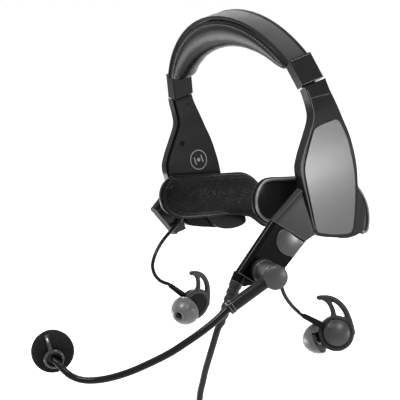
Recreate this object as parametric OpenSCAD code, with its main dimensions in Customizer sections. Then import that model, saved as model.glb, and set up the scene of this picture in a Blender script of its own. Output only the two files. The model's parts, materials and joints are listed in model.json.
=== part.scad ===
// Aviation headset with in-ear speakers, temple pads and a boom microphone.
// Millimetres. +X is the wearer's left, -Y the way the wearer faces, +Z up.
// The origin is the middle of the headband cushion's underside, where it rests on the crown.

/* [Headband] */
// Width of the headband and of its end caps, front to back
band_w = 19; // [17:0.5:22]
// Radius of the headband's outer face
band_r = 90.5; // [86:0.5:96]
// Half of the angle that the headband spans
band_half_angle = 56; // [52:1:60]
// Height of the outer face above the crown rest, at the middle
crown_h = 23; // [18:0.5:27]
// Radius of the cushion's underside arc
cushion_r = 93; // [88:1:105]
// Widest part of the cushion, front to back
cushion_w = 21.5; // [20:0.5:25]
// Depth of the cushion where it meets the end caps
cushion_end_t = 6; // [5:0.5:7]
// Thickness of the fabric cover strip
cover_t = 1.6; // [1.2:0.1:2.2]
// Thickness of the spring steel band
spring_t = 0.8; // [0.6:0.1:1]
// Width of the spring steel band
spring_w = 13; // [10:0.5:14]

/* [Size adjusters] */
// Length of an end cap
cap_len = 18.6; // [17:0.2:22]
// Thickness of an end cap, head side to outside
cap_t = 9; // [8.8:0.1:10]
// How far an end cap stands proud of the headband
cap_proud = 3.6; // [3.3:0.1:3.8]
// Lean of the end caps and the slide, off vertical
cap_lean = 20; // [17:1:23]
// Slit between an end cap and its arm, pushed in
slide_gap = 1.2; // [0.8:0.1:2]
// Width of the adjuster strip
strip_w = 12; // [10:0.5:13]
// Thickness of the adjuster strip
strip_t = 1.1; // [0.8:0.1:1.1]
// Depth of the adjuster strip below the end cap's outer face
strip_in = 6.6; // [6.5:0.1:6.8]
// Travel of the adjuster on each side
slide_travel = 13; // [8:1:13]
// Length of strip that stays in the end cap at full travel
strip_keep = 6.6; // [6:0.2:6.6]

/* [Arms] */
// Thickness of an arm
arm_t = 8.6; // [8.4:0.1:10]
// Depth of the outer shell's tray
shell_t = 6.2; // [5.8:0.1:6.4]
// Wall of the outer shell
shell_wall = 2; // [1.6:0.1:2.2]
// Thickness of the grey face plate
plate_t = 0.9; // [0.6:0.1:1.4]
// How far the inner cover's edge is set in from the shell's
cover_inset = 1.4; // [1:0.1:1.6]
// Thickness of the circuit board
board_t = 1.6; // [1:0.1:2]
// Diameter of the cover screws' heads
screw_head_d = 4.4; // [4:0.1:5]
// Diameter of the cover screws' threads
screw_d = 2.4; // [2:0.1:2.6]

/* [Temple pads] */
// Distance between the two pads' faces
pad_gap = 104; // [100:1:108]
// Thickness of the pad cushion
pad_t = 7.5; // [6.5:0.5:8.5]
// Thickness of the pad's carrier plate
carrier_t = 2.5; // [2.2:0.1:3]
// Depth of the dish in the carrier's back
dish = 1; // [0.6:0.1:1.4]
// Width of the rim round that dish
dish_rim = 2; // [1.6:0.1:2.2]
// Thickness of the bracket that holds the pad's pivot
bracket_t = 2.2; // [1.8:0.1:2.8]
// Diameter of the pad's pivot pin
pad_pin_d = 3; // [2.4:0.1:3.2]
// Height of the pad's knuckle
knuckle_h = 8; // [6:0.5:10]

/* [Boom module] */
// Turn of the boom module toward the face
module_yaw = 7; // [6:0.5:8]
// Thickness of the module and of its dock
module_t = 7.2; // [6.8:0.1:7.6]
// How far the latch button stands out
button_proud = 1.3; // [1:0.1:1.6]
// Travel of the latch button
button_travel = 1.1; // [0.6:0.1:1.2]
// Turn of the boom pivot toward the face
pivot_yaw = 16.5; // [15:0.5:18]
// Diameter of the pivot's base and hub
pivot_d = 16.8; // [16:0.1:17.2]
// Height of the pivot's base above the module
pivot_base_h = 5.4; // [5:0.1:6]
// Length of the hub along the pivot's axis
hub_len = 17.6; // [17:0.1:18]
// Thickness of the hub's grey end cap
hub_cap_t = 2; // [1.4:0.1:2.6]
// Diameter of the pivot pin
pivot_pin_d = 6; // [5:0.1:7]
// Diameter of the rigid boom tube
boom_d = 8.3; // [7.6:0.1:8.6]
// Length of the rigid boom tube, from the pivot's axis
boom_len = 33.6; // [30:0.2:36]
// Diameter of the flexible boom
flex_d = 5; // [4.4:0.1:5.6]
// Reach of the flexible stem, from the boom's collar to the microphone
flex_reach = 121; // [100:1:130]
// Diameter of the microphone capsule
mic_d = 9.6; // [9:0.1:11]
// Diameter of the foam windscreen
foam_d = 28.6; // [26:0.2:32]

/* [Earphones] */
// Diameter of an earphone's body
bud_d = 18.8; // [18:0.1:20]
// Depth of an earphone's body
bud_t = 9; // [8.6:0.1:10]
// Diameter of the grey outer cap
bud_cap_d = 19.2; // [18.4:0.1:19.6]
// Diameter of the soft ring round an earphone
ring_d = 26; // [25:0.2:27]
// Diameter of the sound nozzle
nozzle_d = 7; // [6:0.1:7.4]
// Largest diameter of the silicone ear tip
tip_d = 19; // [17:0.2:20]

/* [Cords] */
// Diameter of the main cord
cord_d = 4.5; // [4:0.1:5]
// Diameter of an earphone lead
lead_d = 2.8; // [2.4:0.1:3.2]
// Drop of the coil's middle below the middle of the band's top
coil_drop = 266; // [256:1:300]
// Mean diameter of the coil that the spare cord is tied in
coil_d = 54; // [46:1:60]
// Thickness of the tied bundle of turns
bundle_d = 16.2; // [15.6:0.2:17]
// Diameter of the plug's contact pin
plug_pin_d = 7.05; // [6.9:0.05:7.2]
// Length of the plug's contact pin
plug_pin_len = 36; // [30:1:40]
// Diameter of the plug's barrel
barrel_d = 14; // [12:0.2:16]
// Length of the plug's barrel
barrel_len = 32; // [26:1:38]

/* [Hidden] */
$fn = 48;

black = "#1c1c1e";
dark = "#27272a";
leather = "#202022";
grey = "#77797c";
fabric = "#606265";
steel = "#a8abae";
rubber = "#232326";
silicone = "#8b8d90";

// A small running clearance, and the clearance between parts that slide
run = 0.05;
slack = 0.2;

// Points and curves
function unit(v) = v / norm(v);
function cr(a, b, c, d, t) = 0.5 * (2 * b + (c - a) * t + (2 * a - 5 * b + 4 * c - d) * t * t
    + (3 * b - a - 3 * c + d) * t * t * t);
function smooth_loop(p, n) = let (m = len(p))
    [for (i = [0:m - 1]) for (k = [0:n - 1])
        cr(p[(i + m - 1) % m], p[i], p[(i + 1) % m], p[(i + 2) % m], k / n)];
function smooth_line(p, n) = let (m = len(p)) concat(
    [for (i = [0:m - 2]) for (k = [0:n - 1])
        cr(p[max(i - 1, 0)], p[i], p[i + 1], p[min(i + 2, m - 1)], k / n)], [p[m - 1]]);
// A counter-clockwise outline drawn in by d
function inset(p, d) = let (m = len(p)) [for (i = [0:m - 1])
    let (a = unit(p[i] - p[(i + m - 1) % m]), b = unit(p[(i + 1) % m] - p[i]),
        na = [-a.y, a.x], nb = [-b.y, b.x]) p[i] + d * (na + nb) / (1 + na * nb)];
// Length along a line of points, up to point i
function run_to(p, i) = i == 0 ? 0 : norm(p[i] - p[i - 1]) + run_to(p, i - 1);

// A solid skinned over rings of equally many points
module loft(rings) {
    n = len(rings[0]);
    m = len(rings);
    polyhedron(
        [for (r = rings) for (q = r) q],
        concat(
            [[for (i = [n - 1:-1:0]) i]],
            [for (j = [0:m - 2]) for (i = [0:n - 1]) let (k = (i + 1) % n)
                [j * n + i, j * n + k, (j + 1) * n + k]],
            [for (j = [0:m - 2]) for (i = [0:n - 1]) let (k = (i + 1) % n)
                [j * n + i, (j + 1) * n + k, (j + 1) * n + i]],
            [[for (i = [0:n - 1]) (m - 1) * n + i]]));
}

// Side vectors carried along a line of points without twist
function tangent(p, i) = unit(p[min(i + 1, len(p) - 1)] - p[max(i - 1, 0)]);
function carry(v, t) = unit(v - (v * t) * t);
function sides(p, i, seed) = i == 0 ? [carry(seed, tangent(p, 0))]
    : let (s = sides(p, i - 1, seed)) concat(s, [carry(s[i - 1], tangent(p, i))]);

// A round tube along a line of points, r0 at its start and r1 at its end
module tube(p, r0, r1, n, seed = [0, 0, 1]) {
    s = sides(p, len(p) - 1, seed);
    loft([for (i = [0:len(p) - 1]) let (t = tangent(p, i), u = s[i], v = cross(u, t),
        r = r0 + (r1 - r0) * i / (len(p) - 1))
        [for (k = [0:n - 1]) p[i] + r * (cos(360 * k / n) * u + sin(360 * k / n) * v)]]);
}

module rrect(x, y, r) {
    square([x - 2 * r, y], center = true);
    square([x, y - 2 * r], center = true);
    for (i = [-1, 1]) for (j = [-1, 1]) translate([i * (x / 2 - r), j * (y / 2 - r)]) circle(r);
}

module left_or_right(s) mirror([s < 0 ? 1 : 0, 0, 0]) children();

// Headband: everything turns about one axis along Y
band_cz = crown_h - band_r;
spring_r = band_r - cover_t - spring_t;
ray = [sin(band_half_angle), cos(band_half_angle)];
module band_axis() translate([0, 0, band_cz]) rotate([90, 0, 0])
    rotate([0, 0, 90 - band_half_angle]) children();

// Frame of the size adjuster: +X outward, -Z the way the arm slides out
cap_at = [ray.x * band_r + cap_proud * cos(cap_lean),
    band_cz + ray.y * band_r + cap_proud * sin(cap_lean)];
tail_x = -cap_proud - (cover_t + spring_t / 2) * (ray.x * cos(cap_lean) + ray.y * sin(cap_lean));
tail_z = -(cover_t + spring_t / 2) * (ray.y * cos(cap_lean) - ray.x * sin(cap_lean));
tail_len = 9;
strip_up = strip_keep + slide_travel - cap_len;
strip_grip = 12;
module slide_frame() translate([cap_at.x, 0, cap_at.y]) rotate([0, -cap_lean, 0]) children();
module strip_block(grow, z0, z1)
    slide_frame() translate([-strip_in - strip_t - grow, -strip_w / 2 - grow, z0])
        cube([strip_t + 2 * grow, strip_w + 2 * grow, z1 - z0]);

module headband_cover() {
    color(fabric) band_axis() rotate_extrude(angle = 2 * band_half_angle) polygon([
        [spring_r, -band_w / 2], [band_r - 0.6, -band_w / 2], [band_r, -band_w / 2 + 0.6],
        [band_r, band_w / 2 - 0.6], [band_r - 0.6, band_w / 2], [spring_r, band_w / 2],
        [spring_r, spring_w / 2], [spring_r + spring_t, spring_w / 2],
        [spring_r + spring_t, -spring_w / 2], [spring_r, -spring_w / 2]]);
}

// Bead across the spring where its straight tail leaves the curve, which turns into it
bead_turn = 0.3;
module spring_bead() slide_frame() translate([tail_x, 0, tail_z]) rotate([90, 0, 0])
    cylinder(r = spring_t, h = spring_w + 1, center = true);
module headband_spring() {
    color(steel) union() {
        band_axis() rotate([0, 0, -bead_turn])
            rotate_extrude(angle = 2 * (band_half_angle + bead_turn))
                translate([spring_r, -spring_w / 2]) square([spring_t, spring_w]);
        for (s = [-1, 1]) left_or_right(s) difference() {
            union() {
                slide_frame() translate([tail_x - spring_t / 2, -spring_w / 2, -tail_len])
                    cube([spring_t, spring_w, tail_len + 2]);
                spring_bead();
            }
            band_side();
        }
    }
}

// The half-space on the headband's side of its end
module band_side() translate([0, 0, band_cz]) rotate([0, band_half_angle, 0])
    translate([-80, -60, 0]) cube([80, 120, 200]);

// Depth of the cushion's section at an angle from the middle, rounded down at its ends
under_k = band_cz + cushion_r;
function under_r(a) = sqrt(pow(cushion_r, 2) - pow(under_k * sin(a), 2)) - under_k * cos(a);
end_soft = 7;
function ease(t) = t <= 0 ? 0 : t >= 1 ? 1 : sqrt(1 - pow(1 - t, 2));
function cushion_depth(a) = let (full = spring_r - under_r(a),
    t = (band_half_angle - abs(a)) / end_soft) cushion_end_t + (full - cushion_end_t) * ease(t);
function cushion_ring(a) = let (d = cushion_depth(a), h = cushion_w / 2, e = min(2.5, d / 3))
    [for (q = concat([[band_w / 2, 0]],
        [for (b = [0:15:180]) [h * cos(b), e + (d - e) * pow(sin(b), 0.85)]],
        [[-band_w / 2, 0]]))
        let (r = spring_r - q.y) [r * sin(a), q.x, band_cz + r * cos(a)]];
cushion_stops = concat([for (a = [-1, -0.985, -0.96, -0.93]) a * band_half_angle],
    [for (i = [-11:11]) i / 12 * band_half_angle * 0.98],
    [for (a = [0.93, 0.96, 0.985, 1]) a * band_half_angle]);
module headband_cushion() {
    color(leather) difference() {
        loft([for (a = cushion_stops) cushion_ring(a)]);
        for (s = [-1, 1]) left_or_right(s) strip_block(slack, -2, strip_up + 0.6);
    }
}

module end_cap() {
    color(black) difference() {
        slide_frame() translate([-cap_t / 2, 0, -cap_len]) linear_extrude(cap_len + 8)
            rrect(cap_t, band_w, 1.2);
        band_side();
        strip_block(slack, -cap_len - 1, 20);
        slide_frame() translate([tail_x - spring_t / 2, -spring_w / 2, -tail_len])
            cube([spring_t, spring_w, tail_len + 20]);
        spring_bead();
    }
}
module end_cap_left() end_cap();
module end_cap_right() left_or_right(-1) end_cap();

module slider_strip() color(steel) strip_block(0, -cap_len - slide_gap - strip_grip, strip_up);
module slider_strip_left() slider_strip();
module slider_strip_right() left_or_right(-1) slider_strip();

// Arms: an outline seen from the side, cut from a slab that bows with the head.
// The slab's outer face starts on the end cap's outer face.
arm_top = cap_at - (cap_len + slide_gap) * [-sin(cap_lean), cos(cap_lean)];
arm_face = smooth_line([for (p = [[-1.5, 4], [0, 0], [1, -5], [1.5, -12], [1.8, -20],
    [1.9, -30], [1.9, -43], [1.6, -55], [0.9, -68], [-0.3, -82], [-1.9, -96],
    [-3.8, -109], [-5.4, -119]]) arm_top + p], 2);
function face_x(z) = lookup(z, [for (p = arm_face) [p.y, p.x]]);
dock_y = -34;
neck = band_w / 2;
arm_line = smooth_loop([[dock_y, -105], [dock_y, -118], [dock_y, -128], [-31.8, -133],
    [-24, -137.7], [-14, -142.2], [-6, -145.8], [-0.5, -146.3], [3, -143], [5.8, -135.5],
    [8.7, -126], [11.8, -118], [13.1, -111], [14.6, -104.3], [15.7, -96], [16, -88.6],
    [15.9, -80], [15, -72], [13.7, -65], [12.6, -57.5], [neck + 1.4, -48.4],
    [neck + 0.2, -42], [neck, -36], [neck, -28], [-neck, -28], [-neck, -36],
    [-neck, -43], [-neck - 0.2, -49], [-neck - 1, -54], [-12.8, -58.2], [-16.5, -62.6],
    [-21.2, -68], [-26, -73.4], [-30.3, -79], [-32.7, -83.1], [-33.8, -88],
    [dock_y, -94]], 2);
plate_line = smooth_loop([[-32, -118], [-32, -128.5], [-30.4, -131.6], [-24, -135.2],
    [-15.9, -139], [-5, -142.8], [-1.2, -142.4], [0.8, -139.6], [3.2, -133], [5.8, -125.5],
    [8.7, -115.4], [10.9, -105.2], [11.7, -96.6], [12.1, -88.6], [12.2, -80.5],
    [11.2, -72.3], [9.4, -65.6], [7, -63.2], [1, -62.6], [-7, -62.4], [-11.5, -62.8],
    [-14.4, -64.6], [-18.8, -69.4], [-24, -76], [-28, -81.6], [-30.3, -86.5],
    [-31.3, -93], [-31.7, -102]], 2);

module slab(d0, d1, line) intersection() {
    rotate([90, 0, 0]) linear_extrude(160, center = true) polygon(concat(
        [for (p = arm_face) [p.x - d0, p.y]],
        [for (i = [len(arm_face) - 1:-1:0]) [arm_face[i].x - d1, arm_face[i].y]]));
    translate([arm_top.x - 40, 0, 0]) rotate([90, 0, 90]) linear_extrude(80) polygon(line);
}
// The end cap's side of the slit above an arm
module cap_side() slide_frame() translate([-60, -60, -cap_len - slide_gap])
    cube([120, 120, 80]);
cavity_top = -50;
module below(z) translate([0, -100, z - 300]) cube([200, 200, 300]);

screw_spots = [[-13.4, -71], [-24, -125], [-1, -132]];
head_h = 1;
head_sunk = 0.5;
module on_inner(spot) translate([face_x(spot.y) - arm_t, spot.x, spot.y])
    rotate([0, 90, 0]) children();

module arm_shell() {
    color(black) difference() {
        union() {
            difference() {
                slab(0, shell_t, arm_line);
                intersection() {
                    slab(shell_wall, shell_t + 1, inset(arm_line, shell_wall));
                    below(cavity_top);
                }
            }
            intersection() {
                slab(shell_wall - 0.4, shell_t, arm_line);
                for (p = screw_spots) on_inner(p) cylinder(d = screw_d + 3.2, h = arm_t);
            }
        }
        cap_side();
        strip_block(0, -cap_len - slide_gap - strip_grip, 0);
        for (p = screw_spots) on_inner(p) cylinder(d = screw_d + 2 * run, h = arm_t - shell_wall);
    }
}
module arm_shell_left() arm_shell();
module arm_shell_right() left_or_right(-1) arm_shell();

// Temple pads, their carriers and the knuckle that they swing on
pad_face = pad_gap / 2;
carrier_x = pad_face + pad_t;
carrier_back = carrier_x + carrier_t;
pivot_y = -12;
pivot_z = -118;
knuckle_r = pad_pin_d / 2 + 1.5;
bracket_x = face_x(pivot_z) - arm_t - bracket_t;
hinge_x = (carrier_back + bracket_x) / 2 + 0.2;
ear_h = 4;
pad_line = smooth_loop([[-58.6, -103], [-58, -108.6], [-54.6, -114], [-48, -119.4],
    [-38, -123.4], [-22, -128.4], [-8, -132.6], [2, -136], [10, -139.6], [16.4, -144.4],
    [21.6, -150.4], [25.4, -155.6], [29, -156.6], [32.4, -152.6], [35, -146.4], [36.2, -139],
    [35.4, -131], [32.4, -122.6], [27.4, -114.6], [20, -108.6], [8, -104.4], [-10, -98.8],
    [-28, -93], [-39, -89.2], [-46.6, -88.4], [-53.2, -91.6], [-57.2, -97]], 2);
bracket_line = smooth_loop([[-16, -110], [-6, -107.6], [4, -109], [12, -113.6], [19, -121.6],
    [21.6, -128.6], [22.4, -135], [21.8, -140], [19.4, -144.4], [18, -149.4], [14, -151],
    [6, -150.6], [-4, -147.4], [-12, -141], [-16, -130], [-17, -120]], 2);

module pad_ears() for (s = [-1, 1])
    translate([hinge_x, pivot_y, pivot_z + s * (knuckle_h + ear_h) / 2 + s * slack]) {
        cylinder(r = knuckle_r, h = ear_h, center = true);
        translate([0, -knuckle_r, -ear_h / 2])
            cube([bracket_x + bracket_t / 2 - hinge_x, 2 * knuckle_r, ear_h]);
    }

// The bracket on the arm's inner side; its lobe shows behind the arm
module pad_bracket() {
    color(dark) difference() {
        union() {
            slab(arm_t, arm_t + bracket_t, bracket_line);
            pad_ears();
        }
        translate([hinge_x, pivot_y, pivot_z])
            cylinder(d = pad_pin_d, h = knuckle_h + 3 * ear_h, center = true);
    }
}
module pad_bracket_left() pad_bracket();
module pad_bracket_right() left_or_right(-1) pad_bracket();

module arm_cover() {
    color(dark) difference() {
        slab(shell_t, arm_t, inset(arm_line, cover_inset));
        cap_side();
        strip_block(0, -cap_len - slide_gap - strip_grip, 0);
        for (p = screw_spots) {
            on_inner(p) translate([0, 0, -2])
                cylinder(d = screw_head_d + 0.3, h = 2 + head_sunk + head_h);
            on_inner(p) cylinder(d = screw_d + 0.2, h = arm_t - shell_wall);
        }
    }
}
module arm_cover_left() arm_cover();
module arm_cover_right() left_or_right(-1) arm_cover();

module cover_screws() {
    color(steel) for (p = screw_spots) on_inner(p) {
        translate([0, 0, head_sunk]) cylinder(d = screw_head_d, h = head_h);
        translate([0, 0, head_h]) cylinder(d = screw_d, h = arm_t - shell_wall - head_h - 0.4);
    }
}
module cover_screws_left() cover_screws();
module cover_screws_right() left_or_right(-1) cover_screws();

module face_plate() color(grey) slab(-plate_t, 0, plate_line);
module face_plate_left() face_plate();
module face_plate_right() left_or_right(-1) face_plate();

module circuit_board() {
    color("#2d5a3c") intersection() {
        slab(shell_wall, shell_wall + board_t, inset(arm_line, shell_wall + 1));
        translate([0, -100, -116]) cube([200, 200, 38]);
    }
}
module circuit_board_left() circuit_board();
module circuit_board_right() left_or_right(-1) circuit_board();

module pad_carrier() {
    color(black) difference() {
        union() {
            translate([carrier_x, 0, 0]) rotate([90, 0, 90]) difference() {
                linear_extrude(carrier_t) polygon(pad_line);
                translate([0, 0, carrier_t - dish]) linear_extrude(carrier_t)
                    polygon(inset(pad_line, dish_rim));
            }
            translate([hinge_x, pivot_y, pivot_z])
                cylinder(r = knuckle_r, h = knuckle_h, center = true);
            translate([carrier_x + carrier_t / 2, pivot_y - knuckle_r, pivot_z - knuckle_h / 2])
                cube([hinge_x - carrier_x - carrier_t / 2, 2 * knuckle_r, knuckle_h]);
        }
        translate([hinge_x, pivot_y, pivot_z])
            cylinder(d = pad_pin_d + 2 * run, h = knuckle_h + 2, center = true);
    }
}
module pad_carrier_left() pad_carrier();
module pad_carrier_right() left_or_right(-1) pad_carrier();

module pad_cushion() {
    rise = [[0, 0.3], [0.12, -0.2], [0.4, 0.2], [0.7, 1.1], [0.9, 2.2], [1, 3.4]];
    color(leather) loft([for (k = rise) [for (p = inset(pad_line, k.y))
        [carrier_x - k.x * pad_t, p.x, p.y]]]);
}
module pad_cushion_left() pad_cushion();
module pad_cushion_right() left_or_right(-1) pad_cushion();

module pad_pin() color(steel) translate([hinge_x, pivot_y, pivot_z])
    cylinder(d = pad_pin_d, h = knuckle_h + 2 * ear_h + 2 * slack, center = true);
module pad_pin_left() pad_pin();
module pad_pin_right() left_or_right(-1) pad_pin();

// Boom module and its dock: drawn on a plane turned a little toward the face, as
// [distance forward of the arm, height]; the plane's own X is its thickness
dock_x = arm_top.x - 5.18;
rib_x = 0.4;
rib_r = module_t / 2;
rib_proud = 0.35;
module side_plane() translate([dock_x, dock_y, 0]) rotate([0, 0, -module_yaw]) children();
function on_plane(x, f, z) = [dock_x + x * cos(module_yaw) - f * sin(module_yaw),
    dock_y - x * sin(module_yaw) - f * cos(module_yaw), z];
module plane_block(x0, x1, line) side_plane() translate([x0, 0, 0]) rotate([90, 0, 90])
    linear_extrude(x1 - x0) polygon([for (p = line) [-p.x, p.y]]);
module plane_rod(a, b, r, x = rib_x) side_plane() translate([x, -a.x, a.y])
    rotate([90 - atan2(b.y - a.y, b.x - a.x), 0, 0]) cylinder(r = r, h = norm(b - a));
joint_a = [27.3, -110.6];
joint_b = [7.65, -133.1];
rib_a = [-8, -98];
rib_b = [23.6, -112];
rib_c = [64, -137.8];
dock_line = [[-8, -98], [23.6, -112], [40, -120], [22, -141], joint_b, [-8, -130.5]];
body_line = [rib_b, rib_c, [62.4, -143.8], [46, -146.8], [27.6, -143.6], joint_b, [0, -125]];
boss_from = [-8, -121.5];
lead_exit = [6.5, -126.5];
lead_x = rib_x - rib_r - 1;
boss_r = lead_d / 2 + 1;

stub_a = [22.8, -111.6];
stub_b = [13.4, -131.6];
stub_line = [[-8, -98], [23.6, -112], [34, -117], [18, -138], [9, -135.2], [-8, -136]];
blank_t = 2.6;

// What lies behind the line from a to b, drawn back by d
module behind(a, b, d = 0) {
    w = unit(b - a);
    back = [w.y, -w.x];
    plane_block(-20, 20, [for (p = [a - 60 * w, b + 60 * w, b + 60 * w + 90 * back,
        a - 60 * w + 90 * back]) p + d * back]);
}
module arm_front() translate([0, dock_y - slack - 100, -200]) cube([200, 100, 200]);
module dock_bar(line) {
    plane_block(rib_x - rib_r + rib_proud, rib_x + rib_r - rib_proud, line);
    plane_rod(rib_a, rib_b + unit(rib_b - rib_a) * 12, rib_r);
}
module lead_boss() intersection() {
    plane_rod(boss_from, lead_exit, boss_r, lead_x);
    arm_front();
}
module module_dock_left() {
    color(black) {
        intersection() {
            dock_bar(dock_line);
            behind(joint_a, joint_b);
            arm_front();
        }
        lead_boss();
    }
}
module module_dock_right() {
    left_or_right(-1) color(black) {
        intersection() {
            dock_bar(stub_line);
            behind(stub_a, stub_b, blank_t);
            arm_front();
        }
        lead_boss();
    }
}
// The cover that closes the right arm's unused dock
module dock_blank() {
    left_or_right(-1) color(dark) difference() {
        intersection() {
            dock_bar(stub_line);
            behind(stub_a, stub_b);
            arm_front();
        }
        behind(stub_a, stub_b, blank_t);
    }
}

// Cable exit at the module's lower end
exit_at = [65.4, -140.4];
exit_dir = unit([0.69, -0.72]);
exit_r = 4.4;
relief_len = 31;
relief_end = exit_at + relief_len * exit_dir;

// A free lead starts and ends clear of its holder and straight out of it
clear_of = 0.15;
function way_on_plane(d) = on_plane(0, d.x, d.y) - on_plane(0, 0, 0);

// Latch button on the module's outer face
button_line = smooth_loop([[21.2, -118.8], [25.6, -119.2], [29.6, -123.2], [30.6, -128.6],
    [28, -134], [22.4, -138.6], [19.6, -138.8], [10.8, -133.8], [10.4, -132.4],
    [15.2, -126.6]], 2);
button_depth = 3;
module_face = rib_x + rib_r - rib_proud;

// Boom pivot: +Z of its frame is the pivot's axis, pointing away from the head
pivot_at = [dock_x - 1, -80.5, -139];
module pivot_frame() translate(pivot_at) rotate([0, 0, -pivot_yaw]) rotate([0, 90, 0]) children();
module module_side() side_plane() translate([module_face - 60, -160, -220]) cube([60, 200, 200]);

module module_body() {
    color(black) difference() {
        union() {
            plane_block(rib_x - rib_r + rib_proud, rib_x + rib_r - rib_proud, body_line);
            plane_rod(rib_b - unit(rib_c - rib_b) * 8, rib_c, rib_r);
            plane_rod(exit_at - 7 * exit_dir, exit_at, exit_r);
        }
        behind(joint_a, joint_b);
        plane_block(module_face - button_depth - button_travel - slack, 20, inset(button_line, slack));
    }
}

module latch_button() color(grey)
    plane_block(module_face - button_depth, module_face + button_proud, button_line);

hub_z = pivot_base_h + slack;
hub_top = hub_z + hub_len;
boom_z = hub_top - boom_d / 2 - 0.2;
module pivot_base() {
    color(black) difference() {
        pivot_frame() translate([0, 0, -6]) cylinder(d = pivot_d, h = 6 + pivot_base_h);
        module_side();
        pivot_frame() translate([0, 0, -8]) cylinder(d = pivot_pin_d, h = 20);
    }
}
module pivot_pin() {
    color(steel) difference() {
        pivot_frame() translate([0, 0, -6]) cylinder(d = pivot_pin_d, h = 6 + hub_top - 3);
        module_side();
    }
}
module pivot_hub() {
    color(black) difference() {
        pivot_frame() translate([0, 0, hub_z]) cylinder(d = pivot_d - 0.4, h = hub_len);
        pivot_frame() translate([0, 0, hub_z - 1])
            cylinder(d = pivot_pin_d + 2 * run, h = hub_len - 1.6);
    }
}
module hub_cap() color(grey) pivot_frame() translate([0, 0, hub_top])
    rotate_extrude() polygon([[0, 0], [pivot_d / 2 - 0.6, 0], [pivot_d / 2 - 0.4, 0.5],
        [pivot_d / 2 - 0.4, hub_cap_t - 0.7], [pivot_d / 2 - 1.1, hub_cap_t], [0, hub_cap_t]]);

// Boom: a rigid tube square to the pivot's axis, then a flexible stem to the microphone
boom_dip = 14.7;
module boom_frame() pivot_frame() translate([0, 0, boom_z]) rotate([0, 0, boom_dip])
    rotate([90, 0, 0]) children();
boom_dir = [-cos(boom_dip) * sin(pivot_yaw), -cos(boom_dip) * cos(pivot_yaw), -sin(boom_dip)];
boom_root = pivot_at + boom_z * [cos(pivot_yaw), -sin(pivot_yaw), 0];
collar_len = 2.2;
flex_start = boom_root + (boom_len + collar_len) * boom_dir;
// The stem's bends, as places after its start, for the reach that the last one gives
flex_bends = [[-3.2, -11.5, -4.4], [-7.7, -22, -8.4], [-13.2, -31.5, -11.9],
    [-19.7, -41, -15.4], [-28.2, -52, -18.4], [-37.7, -63, -20.9], [-47.2, -73, -21.9],
    [-55.2, -80.5, -21.4], [-61.2, -86, -19.4], [-66.4, -89.8, -15.9],
    [-70, -92, -11.3], [-72.6, -93.2, -6.6], [-74.8, -93.6, -4.8], [-77, -93.4, -3.2]];
flex_scale = flex_reach / norm(flex_bends[13]);
mic_at = flex_start + flex_scale * flex_bends[13];
mic_dir = unit([-0.89, 0.44, 0.11]);
mic_back = 1;
flex_points = smooth_line(concat([for (d = [clear_of, 3]) flex_start + d * boom_dir],
    [for (i = [0:12]) flex_start + flex_scale * flex_bends[i]], [mic_at - 0.25 * mic_dir]), 3);
module boom_tube() {
    color(dark) difference() {
        boom_frame() cylinder(d = boom_d, h = boom_len);
        pivot_frame() translate([0, 0, hub_z - 4]) cylinder(d = pivot_d - 0.4, h = hub_len + 12);
    }
}
module boom_collar() color(steel) boom_frame() translate([0, 0, boom_len])
    cylinder(d = boom_d + 0.6, h = collar_len);
module boom_gooseneck() color(rubber) tube(flex_points, flex_d / 2, flex_d * 0.42, 10, [0, 0, 1]);

// Microphone: its frame's +Z points at the mouth, from the ring that holds the foam on
ring_r = 5.7;
ring_t = 1.1;
foam_z = sqrt(pow(foam_d / 2, 2) - pow(ring_r + ring_t, 2));
capsule_len = 13;
tab_r = 1.5;
tab_path = [for (a = [24:7:66]) let (r = foam_d / 2 + tab_r + slack)
    [-r * sin(a), 0, foam_z - r * cos(a)]];
module mic_frame() translate(mic_at)
    rotate([0, acos(mic_dir.z), atan2(mic_dir.y, mic_dir.x)]) children();
module mic_holder() {
    color(dark) mic_frame() {
        translate([0, 0, mic_back - ring_t]) rotate_extrude() translate([ring_r, 0])
            circle(r = ring_t, $fn = 24);
        tube(tab_path, tab_r, tab_r, 10, [0, 1, 0]);
    }
}
module mic_capsule() color(steel) mic_frame() translate([0, 0, mic_back])
    cylinder(d = mic_d, h = capsule_len);
module windscreen() {
    color("#2a2a2c") difference() {
        mic_frame() translate([0, 0, foam_z]) sphere(d = foam_d);
        mic_frame() translate([0, 0, -20]) cylinder(d = mic_d, h = 20 + mic_back + capsule_len);
        mic_frame() translate([0, 0, -20])
            cylinder(r = ring_r + ring_t + slack, h = 20 + mic_back + run);
    }
}

module cable_relief() {
    steps = 6;
    pitch = relief_len / steps;
    profile = concat([[0, 0]], [for (i = [0:steps - 1]) for (q = [[0, 0.45], [0.62, 0.45],
        [0.62, 0], [1, 0]]) [exit_r - 0.4 + q.y - (i + q.x) / steps * 1.5, (i + q.x) * pitch]],
        [[0, relief_len]]);
    color(rubber) side_plane() translate([rib_x, -exit_at.x, exit_at.y])
        rotate([90 - atan2(exit_dir.y, exit_dir.x), 0, 0]) rotate_extrude() polygon(profile);
}

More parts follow.
